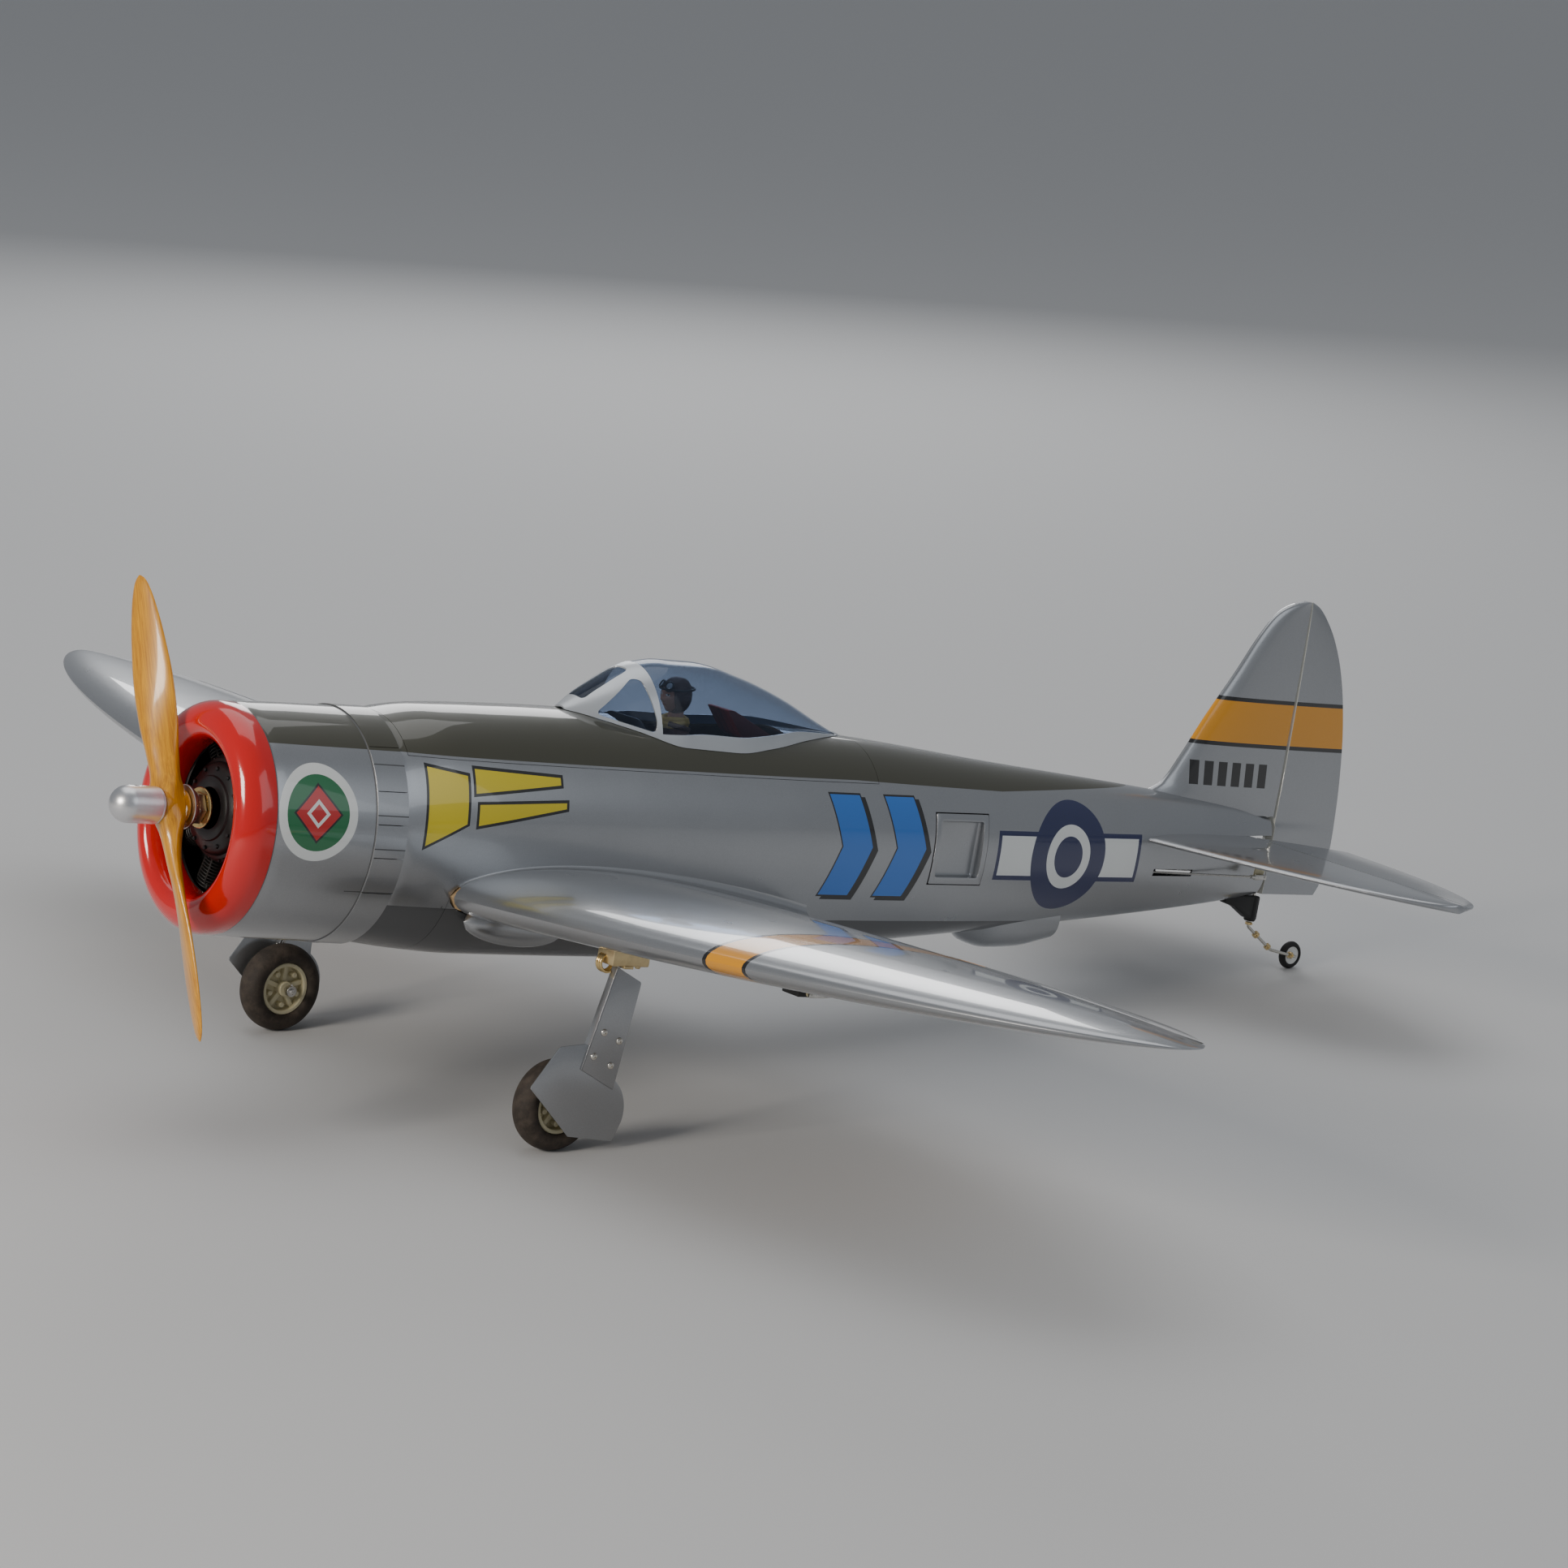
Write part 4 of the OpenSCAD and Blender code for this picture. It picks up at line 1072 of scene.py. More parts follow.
class WARBIRD_OT_propeller(bpy.types.Operator):
    """Carves the two-blade propeller, and turns its nut, washer and driver"""
    bl_idname = "warbird.propeller"
    bl_label = "Propeller"

    def execute(self, context):
        half_chord = smooth((0, 15), (12, 14.6), (26, 13.2), (45, 14.2), (75, 17.6), (110, 19.3),
                            (145, 17.2), (175, 13), (192, 8.6), (200, 4.6), (203, 0.8))
        half_thick = smooth((0, 12.6), (10, 12.2), (26, 9.3), (45, 6.6), (75, 4.6), (110, 3.5),
                            (145, 2.9), (175, 2.2), (195, 1.5), (203, 0.5))
        pitch = smooth((0, 0), (6, 4), (26, 30), (45, 40), (75, 33), (110, 25), (145, 20),
                       (175, 17), (203, 14))
        rings = []
        for t in steps(-1, 1, 150):
            z = 203 * (sin(t * pi / 2) * 0.35 + t * 0.65)
            r = abs(z)
            side = 1 if z >= 0 else -1
            c, w, p = half_chord(r), half_thick(r), -radians(pitch(r)) * side
            boxy = max(0.35, 1 - max(0, 1 - r / 30) * 0.55)
            points = []
            for i in range(40):
                a = 2 * pi * i / 40
                u, v = c * power(cos(a), boxy), w * power(sin(a), boxy)
                # The front is fuller than the back, and the leading edge blunter
                blade = min(1, r / 50)
                v *= 1 + blade * (0.35 * (-1 if v > 0 else 1) - 0.25 * cos(a) * side)
                points.append((u * cos(p) + v * sin(p), -u * sin(p) + v * cos(p), z))
            rings.append(points)
        blades = lofted("propeller_blades", rings)
        hub = turned("hub", [(4.15, -12.5), (13.6, -12.5), (14.8, -11.5), (15, -9), (15, 9),
                             (14.8, 11.5), (13.6, 12.5), (4.15, 12.5)], 56)
        bore = turned("tool", [(0.001, -30), (4.15, -30), (4.15, 30), (0.001, 30)], 32,
                      closed=False)
        cut(blades, bore)
        blades = joined("propeller_blades", [blades, hub])
        moved(blades, spun(-PROPELLER_TURN, 'Y'))
        settled(facing_out(blades), 'propeller_shaft', stained_wood(), ['propeller'],
                40)

        nose = [(16 * cos(a), -41.5 - 16.3 * sin(a)) for a in steps(0, pi / 2 - 0.02, 16)]
        nut = turned("bullet_nut_turned", [(4.1, -13), (14.6, -13), (15.4, -13.6), (15.4, -14.6),
                                           (15.1, -15), (16, -16)] + nose
                     + [(0.001, -57.8), (0.001, -30), (4.1, -28.5)], 72, closed=False)
        cut(nut, turned("tool", [(0.001, -30), (2.5, -30), (2.5, 30), (0.001, 30)], 28, (0, -36, 0),
                        'Z', False))
        settled(facing_out(nut), 'propeller_shaft',
                turned_metal("nut_aluminium", (0.80, 0.80, 0.81), 0.24), ['bullet_nut'], 30)

        driver = turned("driver", [(4.1, 36), (4.1, 13.2), (18.6, 13.2), (19, 13.7), (19, 15.4),
                                   (18.6, 16), (16, 16), (16, 19.6), (15.4, 20.2), (11, 20.4),
                                   (11, 35.5), (10.5, 36)], 64)
        flats = turned("flats", [(4.2, 21.2), (13.6, 21.2), (14.4, 22), (14.4, 28), (13.6, 28.8),
                                 (4.2, 28.8)], 6)
        settled(joined("driver_and_washer", [driver, flats]), 'propeller_shaft',
                turned_metal("driver_steel", (0.72, 0.71, 0.68), 0.2, 'x'), ['prop_driver'], 30)
        gold = turned("gold_washer", [(11.2, 29.4), (17, 29.4), (17.5, 30), (17.5, 31.2),
                                      (17, 31.8), (11.2, 31.8)], 48)
        settled(gold, 'propeller_shaft', plated("washer_gold", (0.85, 0.62, 0.28)))
        return {'FINISHED'}


def hinge_tool(long, start=0.0, deep=40, reach=220, gap=0.4):
    """Everything behind a hinge line along X, with a V at the line."""
    points = [(gap, 0), (gap + deep * HINGE_BEVEL, deep), (reach, deep), (reach, -deep),
              (gap + deep * HINGE_BEVEL, -deep)]
    return sheet("tool", start, points, long)


class WARBIRD_OT_wing(bpy.types.Operator):
    """Skins the wing panels and parts the ailerons from them"""
    bl_idname = "warbird.wing"
    bl_label = "Wing"

    def execute(self, context):
        gap = sizes().seam / MM
        coat = wing_film()
        xs = [ROOT + (799.3 - ROOT) * sin(t * pi / 2) for t in steps(0, 1, 64)]
        solid = lofted("wing_skin_left", [wing_ring(x) for x in xs])
        aileron = copied(solid, "aileron_left_skin")
        cut(aileron, moved(hinge_tool(AILERON_LONG - 1.2, 0.6), AT_AILERON), 'INTERSECT')
        cut(solid, beam(-gap, 220, 0, AILERON_LONG, -40, 40, AT_AILERON))
        pocket = beam(SERVO.y - 8, SERVO.y + 38, SERVO.x - 12, SERVO.x + 24, -100,
                      11 + AILERON_ARM_HIGH)
        cut(solid, pocket)
        cut(solid, beam(305, 355, 208, 238, -100, -56))
        wing = copied(solid, "wing_skin_right", MIRROR)
        other = copied(aileron, "aileron_right_skin", MIRROR)
        settled(facing_out(solid), 'airframe', coat, ['wing_left'])
        settled(facing_out(aileron), 'aileron_left_body', coat)
        settled(facing_out(wing), 'airframe', coat, ['wing_right'])
        settled(facing_out(other), 'aileron_right_body', coat)
        return {'FINISHED'}


class WARBIRD_OT_tailplane(bpy.types.Operator):
    """Skins the stabiliser and the elevators"""
    bl_idname = "warbird.tailplane"
    bl_label = "Tailplane"

    def execute(self, context):
        gap = sizes().seam / MM
        coat = plain_film("tail_film")
        xs = [314.2 * sin(t * pi / 2) for t in steps(-1, 1, 90)]
        solid = lofted("stabiliser_skin", [tail_ring(x) for x in xs])
        lines = shifted(0, ELEVATOR_AT, TAIL_HIGH)
        half = copied(solid, "elevator")
        cut(half, moved(hinge_tool(300, 24), lines), 'INTERSECT')
        cut(half, plate("tool", [(24.5, ELEVATOR_AT - 5, -50), (330, ELEVATOR_AT - 5, -50),
                                 (330, 1420, -50), (63, 1420, -50), (24.5, ELEVATOR_AT + 3, -50)],
                        (0, 0, 150)), 'INTERSECT')
        cut(solid, beam(ELEVATOR_AT - gap, 1500, -400, 400, -20, 100))
        settled(facing_out(solid), 'airframe', coat, ['stabiliser'])
        pair = both(half, "elevator_skins")
        rod = wire("torque_rod", [(-60, ELEVATOR_AT + 16, TAIL_HIGH),
                                  (-30, ELEVATOR_AT + 9, TAIL_HIGH),
                                  (30, ELEVATOR_AT + 9, TAIL_HIGH),
                                  (60, ELEVATOR_AT + 16, TAIL_HIGH)], 1.6, 4)
        settled(facing_out(pair), 'elevator_body', coat, ['elevators'])
        settled(rod, 'elevator_body', plated("torque_rod_steel", (0.6, 0.6, 0.58)))
        return {'FINISHED'}


class WARBIRD_OT_fin(bpy.types.Operator):
    """Skins the fin and the rudder, with a pale strip in their gap as a painted highlight"""
    bl_idname = "warbird.fin"
    bl_label = "Fin and rudder"

    def execute(self, context):
        gap = sizes().seam / MM
        coat = fin_film()
        zs = [-32, -30.5] + steps(-28, 38, 10) + steps(41, 225, 40) + \
             [225 + 40 * sin(t * pi / 2) for t in steps(0.03, 1, 26)]
        solid = lofted("fin_skin", [fin_ring(z) for z in zs])
        rudder = copied(solid, "rudder_skin")
        cut(solid, beam(RUDDER_AT - gap, 1500, -30, 30, -60, 340))
        cut(solid, beam(1050, 1350, -30, 30, -60, 48))
        cut(solid, lofted("tool", [fuselage_ring(y, 1.0) for y in steps(1060, 1330, 40)]))
        settled(facing_out(solid), 'airframe', coat, ['fin'])
        deep = 30
        back = deep * HINGE_BEVEL + gap
        wedge = [(0, gap), (deep, back), (deep, 170), (-deep, 170), (-deep, back)]
        cut(rudder, plate("tool", [(x, RUDDER_AT + y, -31) for x, y in wedge], (0, 0, 400)),
            'INTERSECT')
        cut(rudder, turned("tool", [(0.001, -60), (2.5, -60), (2.5, -10), (0.001, -10)], 24,
                           (0, RUDDER_AT, 0), 'Z', False))
        settled(facing_out(rudder), 'rudder_body', coat, ['rudder'])
        # Painted highlight: a thin pale strip in the hinge gap stands in for the light along the
        # hinge line
        strip = block("hinge_highlight_strip", (-0.5, RUDDER_AT - 6, 50), (0.5, RUDDER_AT + 1.2, 262), 0.3)
        settled(strip, 'airframe', pale_gap_highlight())
        return {'FINISHED'}


def rounded_outline(points, radius, each=5):
    """An outline in a plane with each corner rounded."""
    out = []
    n = len(points)
    for i in range(n):
        a, b, c = (Vector(points[j % n]) for j in (i - 1, i, i + 1))
        r = min(radius, (a - b).length * 0.45, (c - b).length * 0.45)
        p, q = b + (a - b).normalized() * r, b + (c - b).normalized() * r
        out += [tuple(p * (1 - t) ** 2 + b * 2 * t * (1 - t) + q * t * t)
                for t in steps(0, 1, each)]
    return out


class WARBIRD_OT_canopy(bpy.types.Operator):
    """Draws the clear canopy and cuts the windows out of its frame"""
    bl_idname = "warbird.canopy"
    bl_label = "Canopy"

    def execute(self, context):
        thick = sizes().glass / MM
        ys = steps(394, 722.5, 60)
        glass = walled("canopy_glass_drawn", [canopy_ring(y, 0, 9) for y in ys],
                       [canopy_ring(y, -thick, 9) for y in [ys[1]] + ys[1:-1] + [ys[-2]]])
        body = lambda: lofted("tool", [fuselage_ring(y, -0.4) for y in steps(380, 735, 36)])
        cut(glass, body())
        settled(facing_out(glass), 'hatch', clear_plastic(), ['canopy_glass'], 50)

        frame_shell = walled("canopy_frame_moulded", [canopy_ring(y, 1.5, 12) for y in ys],
                             [canopy_ring(y, 0.1, 12) for y in ys])
        sill = [(y, canopy_base(y) + rise(y)) for y in steps(475, 716, 34)]
        cut(frame_shell, slab(sill + [(735, 118), (735, 200), (462, 200)], 90))
        side = rounded_outline([(415, 107), (469, 97), (470, 106), (460, 140), (452, 140)], 7)
        for m in (Matrix(), MIRROR):
            cut(frame_shell, moved(sheet("tool", 17, side, 60), m))
        pane = rounded_outline([(-11, 408), (11, 408), (10, 456), (-10, 456)], 6)
        cut(frame_shell, plate("tool", [(x, y, 107) for x, y in pane], (0, 0, 80)))
        cut(frame_shell, body())
        settled(facing_out(frame_shell), 'hatch', frame_paint(), ['canopy_frame'], 50)
        return {'FINISHED'}


rise = smooth((475, 13.5), (497, 16.5), (520, 18.5), (560, 17), (600, 14.5), (640, 11), (680, 7),
              (716, 3))


def frame_paint():
    f = Finish("canopy_frame_silver", (0.60, 0.63, 0.66), 0.36, 0.55, Coat_Weight=0.2)
    f.shade(f.noise(0.05, 3), 0.92)
    f.roughness = 0.32 + 0.1 * f.noise(0.1, 4)
    f.bump(0.06 * f.noise(0.2, 3))
    return f.done()


HEAD_Y, HEAD_Z = 523, 125
# Nose, its bridge, brow, two lips and chin: height, place, half width and half length
RAISED = ((2.9, 4.3, 1.5, 2.0), (1.4, 1.0, 1.1, 3.6), (0.7, -3.2, 7, 1.4), (0.8, 8.2, 3.0, 0.8),
          (0.8, 9.6, 2.6, 0.7), (1.6, 13.2, 4, 2.2))
# Eyes, the hollow below the lips and cheeks: depth, distance out, place and half sizes
SUNK = ((1.2, 4.5, -0.2, 2.3, 1.7), (0.5, 0, 11.2, 3.5, 0.8), (0.5, 6.5, 7.5, 2.4, 3.0))


class WARBIRD_OT_cockpit(bpy.types.Operator):
    """Models the pilot's bust, the seat back and the cockpit's floor and panel"""
    bl_idname = "warbird.cockpit"
    bl_label = "Cockpit"

    def execute(self, context):
        def bump(a, b, wa, wb):
            return exp(-(a / wa) ** 2 - (b / wb) ** 2)

        rings = []
        for v in steps(0.03, 0.97, 60):
            lat = (v - 0.5) * pi
            up = sin(lat)
            ring = []
            for i in range(72):
                a = 2 * pi * i / 72
                fx, fy = sin(a), -cos(a)
                width, depth = 11.6, 14.2
                if up < 0:
                    width *= 1 - 0.22 * up * up
                    depth *= 1 - 0.10 * up * up
                r = cos(lat) ** 0.92
                x, y, z = fx * width * r, fy * depth * r, up * 15.6
                front = max(0, cos(a)) ** 2
                if front > 0:
                    y -= front * sum(high * bump(x, z + at, wide, tall)
                                     for high, at, wide, tall in RAISED)
                    y += front * sum(deep * bump(abs(x) - out, z + at, wide, tall)
                                     for deep, out, at, wide, tall in SUNK)
                ring.append((x, HEAD_Y + y, HEAD_Z + z))
            rings.append(ring)
        head = lofted("pilot_head", rings)
        neck = turned("neck", [(0.001, -6), (8.2, -6), (7.2, -2), (7, 6), (6.6, 14), (0.001, 14)],
                      32, (0, 527, 101), 'Z', False)
        settled(joined("pilot_head", [head, neck]), 'hatch', painted_pilot(),
                ['pilot'], 70)

        # Helmet: a shell over the head, open for the face
        rings = []
        for v in steps(-0.62, 0.5, 36):
            lat = v * pi
            up = sin(lat)
            rings.append([(sin(a) * (12.9 + 0.5 * (up < 0)) * max(cos(lat), 0.02) ** 0.85,
                           HEAD_Y + 0.8 - cos(a) * 15.3 * max(cos(lat), 0.02) ** 0.85,
                           HEAD_Z + up * 16.9) for a in turns(64)])
        rings = [r for r in rings if r[0][2] > 109]
        helmet = lofted("helmet", rings)
        face = rounded_outline([(-8.6, 131.5), (8.6, 131.5), (10.2, 124), (9.6, 104), (-9.6, 104),
                                (-10.2, 124)], 4)
        cut(helmet, plate("tool", [(x, 500, z) for x, z in face], (0, 19, 0)))
        leather = Finish("helmet_leather", (0.060, 0.025, 0.014), 0.42, 0.0)
        leather.shade(leather.noise(0.3, 4), 0.7)
        leather.bump(0.16 * leather.cells(0.9) + 0.1 * leather.noise(0.2, 2))
        cups = [turned("cup", [(0.001, 1.6), (4.2, 1.2), (5, 0), (5.2, -1.6), (0.001, -1.6)], 28,
                       (13.2, 526, 122.5), 'X', False)]
        cups.append(copied(cups[0], "cup_b", MIRROR))
        settled(joined("helmet", [helmet] + cups), 'hatch', leather.done(), (), 60)

        lens, rims = [], []
        for side in (-1, 1):
            m = (shifted(side * 5.2, 510.4, 133.4) @ spun(radians(-28), 'X')
                 @ spun(radians(side * 20), 'Z'))
            rims.append(moved(turned("rim", [(3.2, 0.6), (4.1, 0.4), (4.4, -0.8), (3.8, -1.6),
                                             (3.1, -1.2)], 32), m))
            lens.append(moved(turned("lens", [(0.001, -1.2), (2, -1.1), (3.2, -0.5), (3.2, 0.3),
                                              (0.001, 0.3)], 28, closed=False), m))
        band = []
        for a in steps(0, 2 * pi, 48):
            band.append((sin(a) * 14.2, HEAD_Y + 0.8 - cos(a) * 16.4, 131.5 - 1.5 * cos(a)))
        rims.append(wire("band", band, 1.05))
        settled(joined("goggle_frames", rims), 'hatch',
                moulded("goggle_black", (0.02, 0.018, 0.016), 0.4), (), 60)
        settled(joined("goggle_lenses", lens), 'hatch',
                moulded("goggle_glass", (0.42, 0.45, 0.48), 0.1, 0.1, 0.0, Coat_Weight=1.0), (), 60)

        # Shoulders and chest
        rings = []
        for t in steps(0, 1, 30):
            z = 69.4 + 33 * t
            w = 23 * (1 - 0.62 * t ** 2.6) + 0.8 * sin(t * 21)
            d = 15.5 * (1 - 0.45 * t ** 2.4) + 0.5 * sin(t * 24 + 1)
            rings.append([(w * power(cos(a), 0.9), 527 + d * power(sin(a), 0.9), z)
                          for a in turns(48)])
        chest = lofted("chest", rings)
        collar = [wire("collar", [(sin(a) * 13.5, 527 - cos(a) * 12.5, 97.5 + 2.4 * cos(a))
                                  for a in (2 * pi * i / 40 for i in range(3, 38))], 2.6)]
        jacket = Finish("jacket_leather", (0.13, 0.055, 0.028), 0.5, 0.0)
        jacket.shade(jacket.noise(0.15, 5), 0.6)
        jacket.shade(abs(jacket.x) < 0.5, 0.5)
        jacket.bump(0.2 * jacket.noise(0.25, 4) + 0.05 * jacket.cells(1.2))
        settled(joined("jacket", [chest] + collar), 'hatch', jacket.done(), (), 60)
        folds = []
        for k, (r, z, lean) in enumerate(((10.6, 104.5, 0.8), (11.6, 101.4, -0.6),
                                          (10.9, 98.8, 0.5))):
            folds.append(wire("fold", [(sin(a) * r, 526.6 - cos(a) * (r + 0.4),
                                        z + lean * sin(2 * a + k) - 2 * max(0, cos(a)))
                                       for a in (2 * pi * i / 40 for i in range(41))], 2.5))
        scarf = Finish("scarf_yellow", (0.72, 0.48, 0.10), 0.75, 0.0)
        scarf.shade(scarf.noise(0.5, 4), 0.75)
        scarf.bump(0.12 * scarf.noise(1.2, 3))
        settled(joined("scarf", folds), 'hatch', scarf.done(), (), 60)

        outline = rounded_outline([(594, 94), (574, 117), (582, 117), (634, 95), (637, 86),
                                   (612, 86)], 3)
        back = sheet("headrest_padded", -15, outline, 30, 2.0)
        stand = sheet("stand", -12, rounded_outline([(590, 69.2), (636, 69.2), (636, 90),
                                                     (604, 96)], 2), 24, 1.0)
        settled(stand, 'hatch', moulded("stand_black", (0.012, 0.012, 0.013),
                                                          0.5))
        red = Finish("headrest_red", (0.42, 0.022, 0.014), 0.5, 0.0)
        red.shade(red.noise(0.12, 3), 0.75)
        red.shade(abs(red.x).repeat(7.5) < 0.6, 0.4)
        red.bump((abs(red.x).repeat(7.5) < 0.6) * -0.5 + 0.05 * red.noise(0.8, 3))
        settled(back, 'hatch', red.done(), ['headrest'])
        floor_pan = block("cockpit_tub", (-48, 446, 67.2), (48, 658, 68.9), 0.5)
        panel = plate("panel", [(x, 468, z) for x, z in rounded_outline([(-40, 69), (40, 69),
                                                                         (38, 92), (22, 104),
                                                                         (-22, 104), (-38, 92)],
                                                                        5)], (0, 2.5, 0), 0.6)
        dials = []
        for x, z, r in ((-24, 90, 5), (-8, 94, 5.5), (8, 94, 5.5), (24, 90, 5), (-16, 80, 4.5),
                        (0, 82, 5), (16, 80, 4.5)):
            dials.append(turned("dial", [(0.001, 3.4), (r - 1, 3.4), (r - 0.7, 4.1), (r, 3.9),
                                         (r, 2), (0.001, 2)], 28, (x, 468, z), 'Y', False))
        settled(joined("cockpit_tub", [floor_pan, panel] + dials), 'hatch',
                moulded("cockpit_grey", (0.035, 0.036, 0.038), 0.55), ['cockpit_floor'])
        return {'FINISHED'}


WHEEL_X, AXLE_Y, WHEEL_RADIUS = 207, 294, 40
AXLE_Z = (WHEEL_RADIUS + AXLE_Y * sin(NOSE_UP) - HUB_AT.z) / cos(NOSE_UP)
LEG_X = WHEEL_X + 18
LEG_TOP = Vector((LEG_X, 326, -62))
LEG_RAKE = atan2(LEG_TOP.y - AXLE_Y, LEG_TOP.z - AXLE_Z)
ON_LEG = shifted(LEG_X + 2.6, AXLE_Y, AXLE_Z) @ spun(-LEG_RAKE, 'X')


class WARBIRD_OT_gear(bpy.types.Operator):
    """Bends the gear wires and cuts the leg covers and wheel doors"""
    bl_idname = "warbird.gear"
    bl_label = "Main gear"

    def execute(self, context):
        steel = plated("leg_wire_steel", (0.66, 0.65, 0.62), 0.2)
        brass = plated("coil_brass", (0.86, 0.64, 0.30), 0.18)
        silver = plain_film("leg_film")
        foot = Vector((LEG_X, AXLE_Y, AXLE_Z))
        leg = wire("leg", [(WHEEL_X - 21, AXLE_Y, AXLE_Z), foot,
                           LEG_TOP + (LEG_TOP - foot).normalized() * 0.4], 2.5, 3.2, 5)
        settled(both(leg, "gear_legs"), 'airframe', steel, ['gear_wires'], 50)
        coil = []
        for i in range(80):
            a = 2 * pi * i / 28
            coil.append((LEG_X - 9 + i * 0.095, 313 + 7.6 * cos(a), -73 + 7.6 * sin(a)))
        settled(both(wire("coil", coil, 1.35), "gear_coils"), 'airframe', brass, (), 60)
        clamp = block("clamp", (LEG_X - 13.5, 309, -73.5), (LEG_X + 9.5, 349, -56.5), 1.4)
        strap = block("strap", (LEG_X - 14, 322, -75.5), (LEG_X + 10, 332, -72.8), 0.7)
        screws = [turned("screw", [(0.001, -2.2), (2, -2), (2.8, -0.4), (2.8, 0.4), (0.001, 0.4)],
                         20, (LEG_X - 8 + 13 * k, 340, -73.6), 'Z', False) for k in range(2)]
        settled(both(joined("clamp", [clamp, strap] + screws), "gear_clamps"), 'airframe',
                plated("clamp_brass", (0.75, 0.60, 0.34), 0.3), ['gear_blocks'])

        cover = sheet("cover", 1.35, ((-3, 36), (37, 28), (27, 121), (25.5, 122.4), (-3, 128)),
                      1.15, 0.3)
        fold = block("fold", (-5.0, -4.3, 36.2), (2.5, -3.1, 128), 0.35)
        settled(both(moved(joined("cover", [cover, fold]), ON_LEG), "leg_covers"), 'airframe',
                silver, ['strut_covers'])
        arc = [(25 + 34 * cos(a), 4 + 34 * sin(a)) for a in steps(0.0, 1.22, 12)]
        outline = [(-8, 58), (-32, 49.5), (-34, 47.5), (-48.5, 10), (-48, 7.8), (8, -21.5),
                   (55.5, -14.5), (57, -12)]
        door = sheet("door", 0.02, outline + arc + [(32, 52), (30, 54)], 1.2, 0.3)
        settled(both(moved(door, ON_LEG), "wheel_doors_cut"), 'airframe', silver,
                ['wheel_doors'])
        heads = []
        for y, z in ((4, 50), (25, 47), (6, 72), (25, 69)):
            dome = [(3.3 * cos(a), 2.7 + 2.1 * sin(a)) for a in steps(0, 1.25, 8)]
            head = turned("head", [(0.001, 2.5), (3.3, 2.5)] + dome
                          + [(0.95, 4.7), (0.95, 3.6), (0.001, 3.5)], 26, (0, y, z), 'X', False)
            heads.append(head)
        settled(both(moved(joined("heads", heads), ON_LEG), "leg_screws"), 'airframe',
                plated("screw_nickel", (0.80, 0.77, 0.70), 0.14), ['gear_screws'])
        collar = turned("collar", [(2.6, -20), (5, -20), (5.2, -19.6), (5.2, -15.6), (5, -15.2),
                                   (2.6, -15.2)], 36, (WHEEL_X, AXLE_Y, AXLE_Z), 'X')
        cap = turned("cap", [(0.001, -22), (2, -21.8), (2.7, -21), (2.7, -20), (0.001, -20)], 24,
                     (WHEEL_X, AXLE_Y, AXLE_Z), 'X', False)
        grub = turned("grub", [(0.001, 6.4), (1.3, 6.2), (1.3, 4.5), (0.001, 4.5)], 6,
                      (WHEEL_X - 17.6, AXLE_Y, AXLE_Z), 'Z', False)
        settled(both(joined("collar", [collar, cap, grub]), "wheel_collars"), 'airframe',
                plated("collar_nickel", (0.78, 0.76, 0.72), 0.16), ['axle_collars'])
        return {'FINISHED'}


class WARBIRD_OT_wheels(bpy.types.Operator):
    """Spins the main tyres and their spoked hubs"""
    bl_idname = "warbird.wheels"
    bl_label = "Main wheels"

    def execute(self, context):
        at = (WHEEL_X, AXLE_Y, AXLE_Z)
        tread = [(28.1 + 11.9 * cos(a) ** 0.86, 13.6 * sin(a)) for a in steps(-1.28, 1.28, 30)]
        tyre = turned("tyre", [(24.1, -8.8), (25, -11.2)] + [(28, -13.3)] + tread
                      + [(28, 13.3), (25, 11.2), (24.1, 8.8)], 96, at, 'X')
        count = sizes().spokes
        rim = turned("rim", [(20.4, -8.8), (21, -9.4), (23.4, -9.4), (23.95, -8.9), (23.95, 8.9),
                             (23.4, 9.4), (21, 9.4), (20.4, 8.8), (19.8, 0)], 72, at, 'X')
        boss = turned("boss", [(2.6, -11), (6.4, -11), (7, -10.4), (7, 10.4), (6.4, 11), (2.6, 11)],
                      40, at, 'X')
        web = turned("web", [(6.6, -1.6), (20.4, -1.2), (20.4, 1.2), (6.6, 1.6)], 60, at, 'X')
        parts = [rim, boss]
        for i in range(count):
            m = Matrix.Translation(at) @ spun(2 * pi * i / count, 'X')
            parts.append(moved(block("spoke", (-6, -2.3, 5.6), (6, 2.3, 21), 0.9), m))
            parts.append(moved(turned("lug", [(0.001, -8.2), (2, -8.2), (2.5, -7.6), (2.5, 7.6),
                                              (2, 8.2), (0.001, 8.2)], 18, (0, 0, 15.4), 'X',
                                      False), m @ spun(pi / count, 'X')))
        hub = joined("hub", parts + [web])
        nylon = moulded("wheel_nylon", colours().nylon, 0.35, 0.15, 0.02, Coat_Weight=0.3)
        grip = rubber()
        for side, m in (("left", Matrix()), ("right", MIRROR)):
            settled(facing_out(copied(tyre, "tyre_%s_moulded" % side, m)), 'wheel_' + side,
                    grip, ['tyre_' + side], 45)
            settled(copied(hub, "hub_%s_moulded" % side, m), 'wheel_' + side, nylon,
                    ['hub_' + side])
        bpy.data.objects.remove(tyre)
        bpy.data.objects.remove(hub)
        return {'FINISHED'}


TAIL_AXLE = Vector((0, 1380, (14 + 1380 * sin(NOSE_UP) - HUB_AT.z) / cos(NOSE_UP)))


